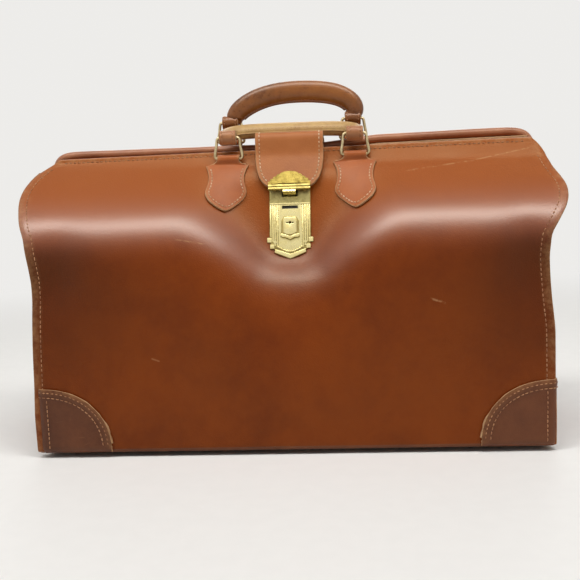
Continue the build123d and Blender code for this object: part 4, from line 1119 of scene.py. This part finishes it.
handle = dict(
    # middle line of the front and the rear handle, across and up from the heads of the rings
    paths={-1: [(-54.5, 4.0), (-58, 7.5), (-60.4, 12), (-59.4, 18.5), (-52.4, 24.8), (-40.4, 28.8),
                (-26, 30.4), (-9, 30.6), (9, 30.6), (26, 30.4), (41, 28.8), (54, 24.8), (62, 18.5),
                (63.4, 12), (61, 7.5), (57.5, 4.0)],
           1: [(-57.4, 0.5), (-57.2, 3.8), (-56, 7.6), (-52.6, 12.2), (-45, 17.6), (-32.5, 23.6),
               (-15.5, 27.9), (3, 29.2), (20, 28.9), (36, 27.4), (49.6, 24), (60, 17.8), (65, 10.2),
               (63, 4.6), (59.6, 0.5)]},
    midHeight=10.4, midThick=7.0, armHeight={-1: 7.4, 1: 9.3}, armThick=6.6, stations=110,
    # shares of its length over which it swells and tapers at each end, and how far it tapers
    swelling=0.34, tapering=0.06, taper=0.22,
    wear={-1: 0.8, 1: 0.45},
)


def gripRod(side, place, material, name):
    angle = radians(place["angle"])
    rise = np.array([0, cos(angle), sin(angle)])
    face = np.array([0, -sin(angle), cos(angle)])
    origin = np.array([0, place["foot"][0], place["foot"][1] + carrier["rise"]])
    line = curveThrough(handle["paths"][side], handle["stations"])
    path = origin + np.outer(line[:, 0], (1, 0, 0)) + np.outer(line[:, 1], rise)
    t = np.linspace(0, 1, len(line))
    fromEnd = 0.5 - np.abs(t - 0.5)
    swell = smooth(fromEnd / handle["swelling"])
    taper = smooth(fromEnd / handle["tapering"]) * handle["taper"] + (1 - handle["taper"])
    sizes = (handle["armHeight"][side], handle["midHeight"]), (handle["armThick"], handle["midThick"])
    high, thick = ((arm + (middle - arm) * swell) * taper for arm, middle in sizes)
    wear = handle["wear"][side] * (0.5 + 0.5 * swell)
    work = Workpiece()
    tube(work, path, np.stack([thick, high], axis=1), 24, face, wear=wear, power=0.94, cap=0.5)
    # seam along the inner side of the handle
    ways = unit(np.gradient(path, axis=0))
    inward = unit(np.cross(ways, face))
    if inward[len(path) // 2] @ rise > 0:
        inward = -inward
    for lean in (-1, 1):
        seamNormal = unit(inward * 0.86 + face * lean * 0.5)
        spot = path + inward * (high * 0.86)[:, None] * 0.97 + face * (thick * 0.5)[:, None] * lean * 0.97
        stitches(work, spot[12:-12], seamNormal[12:-12], 1, pitch=3.8, radius=0.42)
    ridge = path + inward * (high + 0.2)[:, None]
    tube(work, ridge[10:-10], 0.9, 8, face)
    piece = work.make(name, [material, thread])
    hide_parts(f"{place['word']}_handle")
    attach(piece, f"{place['word']}_grip")


for side, place in carrierPlaces.items():
    for end in (-1, 1):
        chape(side, end, place)
        wireRing(side, end, place)
    endLoops(side, place, loopLeather if side < 0 else handleLeather)
gripRod(-1, carrierPlaces[-1], wornLeather, "front_grip_rod")
gripRod(1, carrierPlaces[1], handleLeather, "rear_grip_rod")
print("chapes, rings, loops and handles made")


# Brass lock. Flat parts are bevelled sheets laid in a plane: u across, v up, w out of it.
def mirrored(half):
    return [*half, *[(-x, y) for x, y in reversed(half) if abs(x) > 1e-6]]


def flatPart(work, outlines, low, high, bevel, plane, slot=0, wear=0.6):
    origin, up, out = plane
    curve = bpy.data.curves.new("cutter", "CURVE")
    curve.dimensions, curve.fill_mode = "2D", "BOTH"
    curve.extrude, curve.bevel_depth = (high - low) / 2 - bevel, bevel
    curve.bevel_resolution, curve.offset = 2, -bevel
    for shape in outlines:
        spline = curve.splines.new("POLY")
        spline.points.add(len(shape) - 1)
        spline.points.foreach_set("co", [number for x, y in shape for number in (x, y, 0, 1)])
        spline.use_cyclic_u = True
    holder = bpy.data.objects.new("cutter", curve)
    bpy.context.collection.objects.link(holder)
    bpy.context.view_layer.update()
    mesh = bpy.data.meshes.new_from_object(holder.evaluated_get(bpy.context.evaluated_depsgraph_get()))
    bpy.data.objects.remove(holder)
    cleaned = bmesh.new()
    cleaned.from_mesh(mesh)
    bmesh.ops.remove_doubles(cleaned, verts=cleaned.verts, dist=0.004)
    cleaned.verts.ensure_lookup_table()
    points = [origin + v.co.x * np.array([1.0, 0, 0]) + v.co.y * up + (v.co.z + (low + high) / 2) * out
              for v in cleaned.verts]
    faces = [tuple(v.index for v in face.verts) for face in cleaned.faces]
    cleaned.free()
    work.add(points, faces, slot, wear)


def rectangle(halfWidth, low, high):
    return [(-halfWidth, low), (halfWidth, low), (halfWidth, high), (-halfWidth, high)]


plate = dict(
    seat=0.3, thickness=1.8, halfWidth=19.5, top=37.0,
    # slots for the catch, a spare one and the slider's shank: height, half height, half width
    slots=[(27.4, 3.0, 7.5), (14.0, 1.5, 7.5), (-9.5, 7.2, 3.3)],
    rivets=[(-14.25, -20.0), (-14.25, 31.0), (14.25, -20.0), (14.25, 31.0)], rivetRadius=1.6,
    right=[(0, 37), (18.9, 37), (19.5, 36.4), (19.5, -15.1), (21.3, -15.5), (21.9, -16.3),
           (21.9, -19.7), (21.3, -20.5), (18.9, -20.7), (18.3, -21.3), (19, -22.1), (19.3, -22.9),
           (19.2, -25.9), (18.5, -26.8), (15.7, -26.8), (15.1, -27.3), (14.2, -28.3), (15.3, -29.9),
           (14.5, -30.6), (9, -32.9), (3.5, -35.1), (0, -36.5)],
    # distance in from the side and height of the foot of each bead
    beads=[(1.3, -14.9), (3.3, -20.1), (5.3, -23.9), (7.4, -25.3)],
    # stepped knobs beside the foot: from and to, across and up
    knobs=[(17.3, 21.7, -20.3, -15.7), (15.1, 19.0, -26.5, -22.3)],
    chevron=[(0, -31.9), (3.5, -30.5), (9, -28.5), (14.1, -26.9), (14.3, -28.1), (15, -29.9),
             (9, -32.6), (3.5, -34.8), (0, -36.1)],
    archHalf=11.3, archRise=4.6, archFoot=-23.9,
)
lockPlane = (lockOrigin, lockUp, lockOut)
w, arch, rivet = plate["halfWidth"], plate["archHalf"], plate["rivetRadius"]
face = plate["seat"] + plate["thickness"]
slots = [[(x, middle + y) for x, y in rectangle(half, -tall, tall)] for middle, tall, half in plate["slots"]]
holes = [[(x + rivet * cos(a), y + rivet * sin(a)) for a in np.arange(16) * pi / 8]
         for x, y in plate["rivets"]]
archLine = [(x, plate["archFoot"] - plate["archRise"] * cos(pi * x / (2 * arch)))
            for x in np.linspace(0, arch, 10)]
field = mirrored([(0, 16.4), (w - 8.5, 16.4), *[(min(x, w - 8.5), y + 0.3) for x, y in archLine[::-1]]])
# outlines, how deep they sink into the face, how far they rise from it, and bevel: first the upper
# strip, painted darker for the shade under the hasp, then a ridge, beads, knobs, the chevron bar, the field
# and its edge
raised = [([rectangle(w - 0.7, 17.6, plate["top"] - 0.8), slots[0]], 0.3, 0.12, 0.1),
          ([rectangle(w - 0.3, 16.6, 18.2)], 0.3, 0.75, 0.3)]
for inset, bottom in plate["beads"]:
    raised += [([[(x + end * (w - inset), y) for x, y in rectangle(0.75, bottom, 16.4)]], 0.3, 0.6, 0.42)
               for end in (-1, 1)]
for end in (-1, 1):
    raised += [([[(end * x, y) for x, y in ((x0, y0), (x1, y0), (x1, y1), (x0, y1))]], 0.3, 0.9, 0.45)
               for x0, x1, y0, y1 in plate["knobs"]]
raised += [([mirrored(plate["chevron"])], 0.3, 0.9, 0.4), ([field, slots[1], slots[2]], 0.25, 0.15, 0.1)]
for end in (1, -1):
    line = [(end * x, y) for x, y in archLine]
    raised.append(([line + [(x, y - 1.3) for x, y in reversed(line)]], 0.3, 0.55, 0.35))
work = Workpiece()
flatPart(work, [mirrored(plate["right"]), *slots, *holes], plate["seat"], face, 0.3, lockPlane, 2, 0.3)
for number, (outlines, sunk, rise, bevel) in enumerate(raised):
    # the upper strip takes the brass with painted shade
    slot, wear = (1, 0.1) if number == 0 else (0, 0.6)
    flatPart(work, outlines, face - sunk, face + rise, bevel, lockPlane, slot, wear)
piece = work.make("brass_lock_plate", [brass, shadedStripBrass, grooveBrass], 30)
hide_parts("lock_plate")
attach(piece, "front_jaw")

# Slider: a grooved body with a bright panel round the keyhole and a bar at its foot
slider = dict(
    middle=-7.0, seat=2.4, thickness=2.6,
    body=[(0, 11.5), (5.4, 11.5), (6, 11.2), (8.3, 7.3), (8.4, 6.5), (8.4, -3.5), (9.2, -5.3),
          (9.2, -8.1), (7.6, -9.1), (4.4, -9.3), (0, -11.5)],
    panel=[(0, 10.6), (5.3, 10.6), (6.2, 9.3), (6.3, -4.3), (4, -5.7), (0, -6.7)],
    keyhole=[(-3.7, 4.6), (-1.1, 4.6), (-0.7, 3.9), (0, 3.7), (0.7, 3.9), (1.1, 4.6), (3.7, 4.6),
             (3.7, 5.6), (1.1, 5.6), (0.7, 6.3), (0, 6.5), (-0.7, 6.3), (-1.1, 5.6), (-3.7, 5.6)],
    footBar=[(0, -8.1), (4.6, -6.1), (7.8, -5.3), (8.8, -5.6), (9, -7.8), (7.4, -8.8), (4.4, -9),
             (0, -11.2)],
)
back, front = slider["seat"], slider["seat"] + slider["thickness"]
work = Workpiece()
for outlines, low, high, bevel, slot in (
        ([mirrored(slider["body"])], back, front - 1.1, 0.3, 1),
        ([mirrored(slider["panel"]), slider["keyhole"]], front - 1.4, front - 0.1, 0.4, 0),
        ([mirrored(slider["footBar"])], front - 1.4, front - 0.2, 0.4, 0),
        # painted shade: a dark sheet behind the keyhole
        ([rectangle(4.1, 3.3, 6.9)], front - 1.35, front - 0.95, 0.05, 2),  # dark behind the keyhole
        ([rectangle(3.0, -4.5, 4.5)], -7.3, back + 0.3, 0.2, 0)):  # shank
    outlines = [[(x, y + slider["middle"]) for x, y in shape] for shape in outlines]
    flatPart(work, outlines, low, high, bevel, lockPlane, slot)
piece = work.make("brass_lock_slider", [brass, grooveBrass, keyholeShadeBrass], 30)
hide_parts("lock_slider")
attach(piece, "lock_slide")

# Hasp: a cast fan in steps, above a foot of two bars
hasp = dict(
    seat=1.6, thickness=2.0, halfWidth=20.0, stepFoot=-49.0,
    half=[(20, -55), (20, -46.6), (19.5, -46.1), (18.3, -45.8), (18.2, -43.8), (17.4, -43.2),
          (15.4, -43), (15.2, -41.4), (14.4, -40.8), (12.4, -40.6), (12, -39.2), (11, -38.4),
          (8.6, -37.8), (8, -36.8), (5.6, -35.8), (2.6, -35.2), (0, -35)],
    steps=[(0.86, 0.0), (0.68, 0.35), (0.48, 0.65)],  # size and rise
    bars=[(-55.0, -52.7, 0.8), (-52.1, -49.8, 0.75)],  # foot, head and rise
)
low, top, stepFoot = hasp["seat"], hasp["seat"] + hasp["thickness"], hasp["stepFoot"]
flapPlane = (foldPoint, -flapWay, flapOut)
work = Workpiece()
flatPart(work, [mirrored(hasp["half"])], low, top - 0.5, 0.3, flapPlane)
for size, rise in hasp["steps"]:
    step = [(x * size, stepFoot + (y - stepFoot) * (size + 0.04)) for x, y in hasp["half"] if y > stepFoot]
    flatPart(work, [mirrored([(step[0][0], stepFoot)] + step)], top - 0.9, top + rise, 0.3, flapPlane)
for y0, y1, rise in hasp["bars"]:
    flatPart(work, [rectangle(hasp["halfWidth"], y0, y1)], top - 1.0, top + rise, 0.5, flapPlane, 1)
piece = work.make("brass_hasp_fan", [castBrass, haspBrass], 30)
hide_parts("hasp_plate")
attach(piece, "tab")

# Coil spring under the bolt
spring = dict(coil=2.0, wire=0.36, turns=7.5, length=13.1)
low, high = nodeBox("lock_spring")
centre = (low + high) / 2
t = np.linspace(0, 1, 180)
climb = 0.4 - spring["length"] / 2 + (spring["length"] - 0.8) * smooth(t * 0.86 + 0.07)
turns = 2 * pi * spring["turns"] * t
path = (centre + np.outer(climb, lockUp) + spring["coil"] * np.outer(np.cos(turns), (1, 0, 0))
        + spring["coil"] * np.outer(np.sin(turns), lockOut))
work = Workpiece()
tube(work, path, spring["wire"], 8, lockUp)
piece = work.make("coil_spring", [springSteel])
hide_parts("lock_spring")
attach(piece, "front_jaw")
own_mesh(piece)
print("lock made")

# Nodes that keep their own shape
finishes = {
    "base_board": boardMaterial, "base_studs": ringBrass, "front_frame": steel, "rear_frame": steel,
    "hinge_pins": steel, "lock_case": steel, "lock_rivets": brass, "lock_bolt": steel, "hasp_catch": brass,
}
for name, material in finishes.items():
    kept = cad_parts[name]
    if not kept.material_slots:
        kept.data.materials.append(material)
    for materialSlot in kept.material_slots:
        materialSlot.material = material

# Floor, lamps and world, in metres
studio = dict(
    floorHalf=4.0, floorColour=(0.83, 0.815, 0.78), floorFade=(0.6, 1.4), background=(0.85, 0.84, 0.82),
    worldColour=(0.9, 0.9, 0.92), worldLight=0.2,
    # name, place, aim, size and watts
    lamps=[("key", (0, -0.62, 1.85), (0, -0.06, 0.15), (2.4, 0.66), 38.0),
           ("back", (0, 1.7, 1.3), (0, 0.1, 0.1), (1.8, 0.7), 9.0),
           ("left fill", (-1.7, -1.0, 1.2), (0, 0, 0.15), (0.9, 0.9), 2.0),
           ("right fill", (1.7, -1.0, 1.2), (0, 0, 0.15), (0.9, 0.9), 2.0)],
)


def inView(tree):
    # 1 where the camera sees a surface directly, in a reflection or through glass
    rays = node(tree, "LightPath").outputs
    either = sums(tree, "MAXIMUM", rays["Is Camera Ray"], rays["Is Glossy Ray"])
    return sums(tree, "MAXIMUM", either, rays["Is Transmission Ray"])


floorMesh = bpy.data.meshes.new("floor")
half = studio["floorHalf"]
floorMesh.from_pydata([(*corner, 0) for corner in rectangle(half, -half, half)], [], [(0, 1, 2, 3)])
floor = bpy.data.objects.new("floor", floorMesh)
bpy.context.collection.objects.link(floor)
floorMaterial, tree, shader = newMaterial("pale table")
place = objectPlace(tree)
shade = tuple(c * 0.985 for c in studio["floorColour"])
speck = spread(tree, noise(tree, place, 60.0, 4.0), 0.3, 0.7)
colour = blendColours(tree, speck, shade, studio["floorColour"])
setSockets(tree, shader, Base_Color=colour, Roughness=0.62)
# away from the bag the floor runs into the plain background
away = node(tree, "VectorMath", {"operation": "LENGTH"}, i0=place).outputs["Value"]
share = times(tree, spread(tree, away, *studio["floorFade"]), inView(tree))
plainLight = node(tree, "Emission", Color=(*studio["background"], 1), Strength=1.0)
mixed = node(tree, "MixShader", i0=share, i1=shader.outputs[0], i2=plainLight.outputs[0])
tree.links.new(mixed.outputs[0], tree.nodes["Material Output"].inputs[0])
floorMesh.materials.append(floorMaterial)

for name, spot, aim, size, power in studio["lamps"]:
    data = bpy.data.lights.new(name, "AREA")
    data.shape, data.size, data.size_y, data.energy = "RECTANGLE", size[0], size[1], power
    lamp = bpy.data.objects.new(name, data)
    lamp.location = spot
    lamp.rotation_euler = (Vector(aim) - Vector(spot)).to_track_quat("-Z", "Y").to_euler()
    bpy.context.collection.objects.link(lamp)

world = bpy.data.worlds.new("studio")
world.use_nodes = True
tree = world.node_tree
tree.nodes.clear()
light = node(tree, "Background", Color=(*studio["worldColour"], 1), Strength=studio["worldLight"])
seen = node(tree, "Background", Color=(*studio["background"], 1), Strength=1.0)
mixed = node(tree, "MixShader", i0=inView(tree), i1=light.outputs[0], i2=seen.outputs[0])
tree.links.new(mixed.outputs[0], node(tree, "OutputWorld").inputs[0])
bpy.context.scene.world = world
bpy.context.scene.view_settings.view_transform = "Standard"
print("floor and light made")
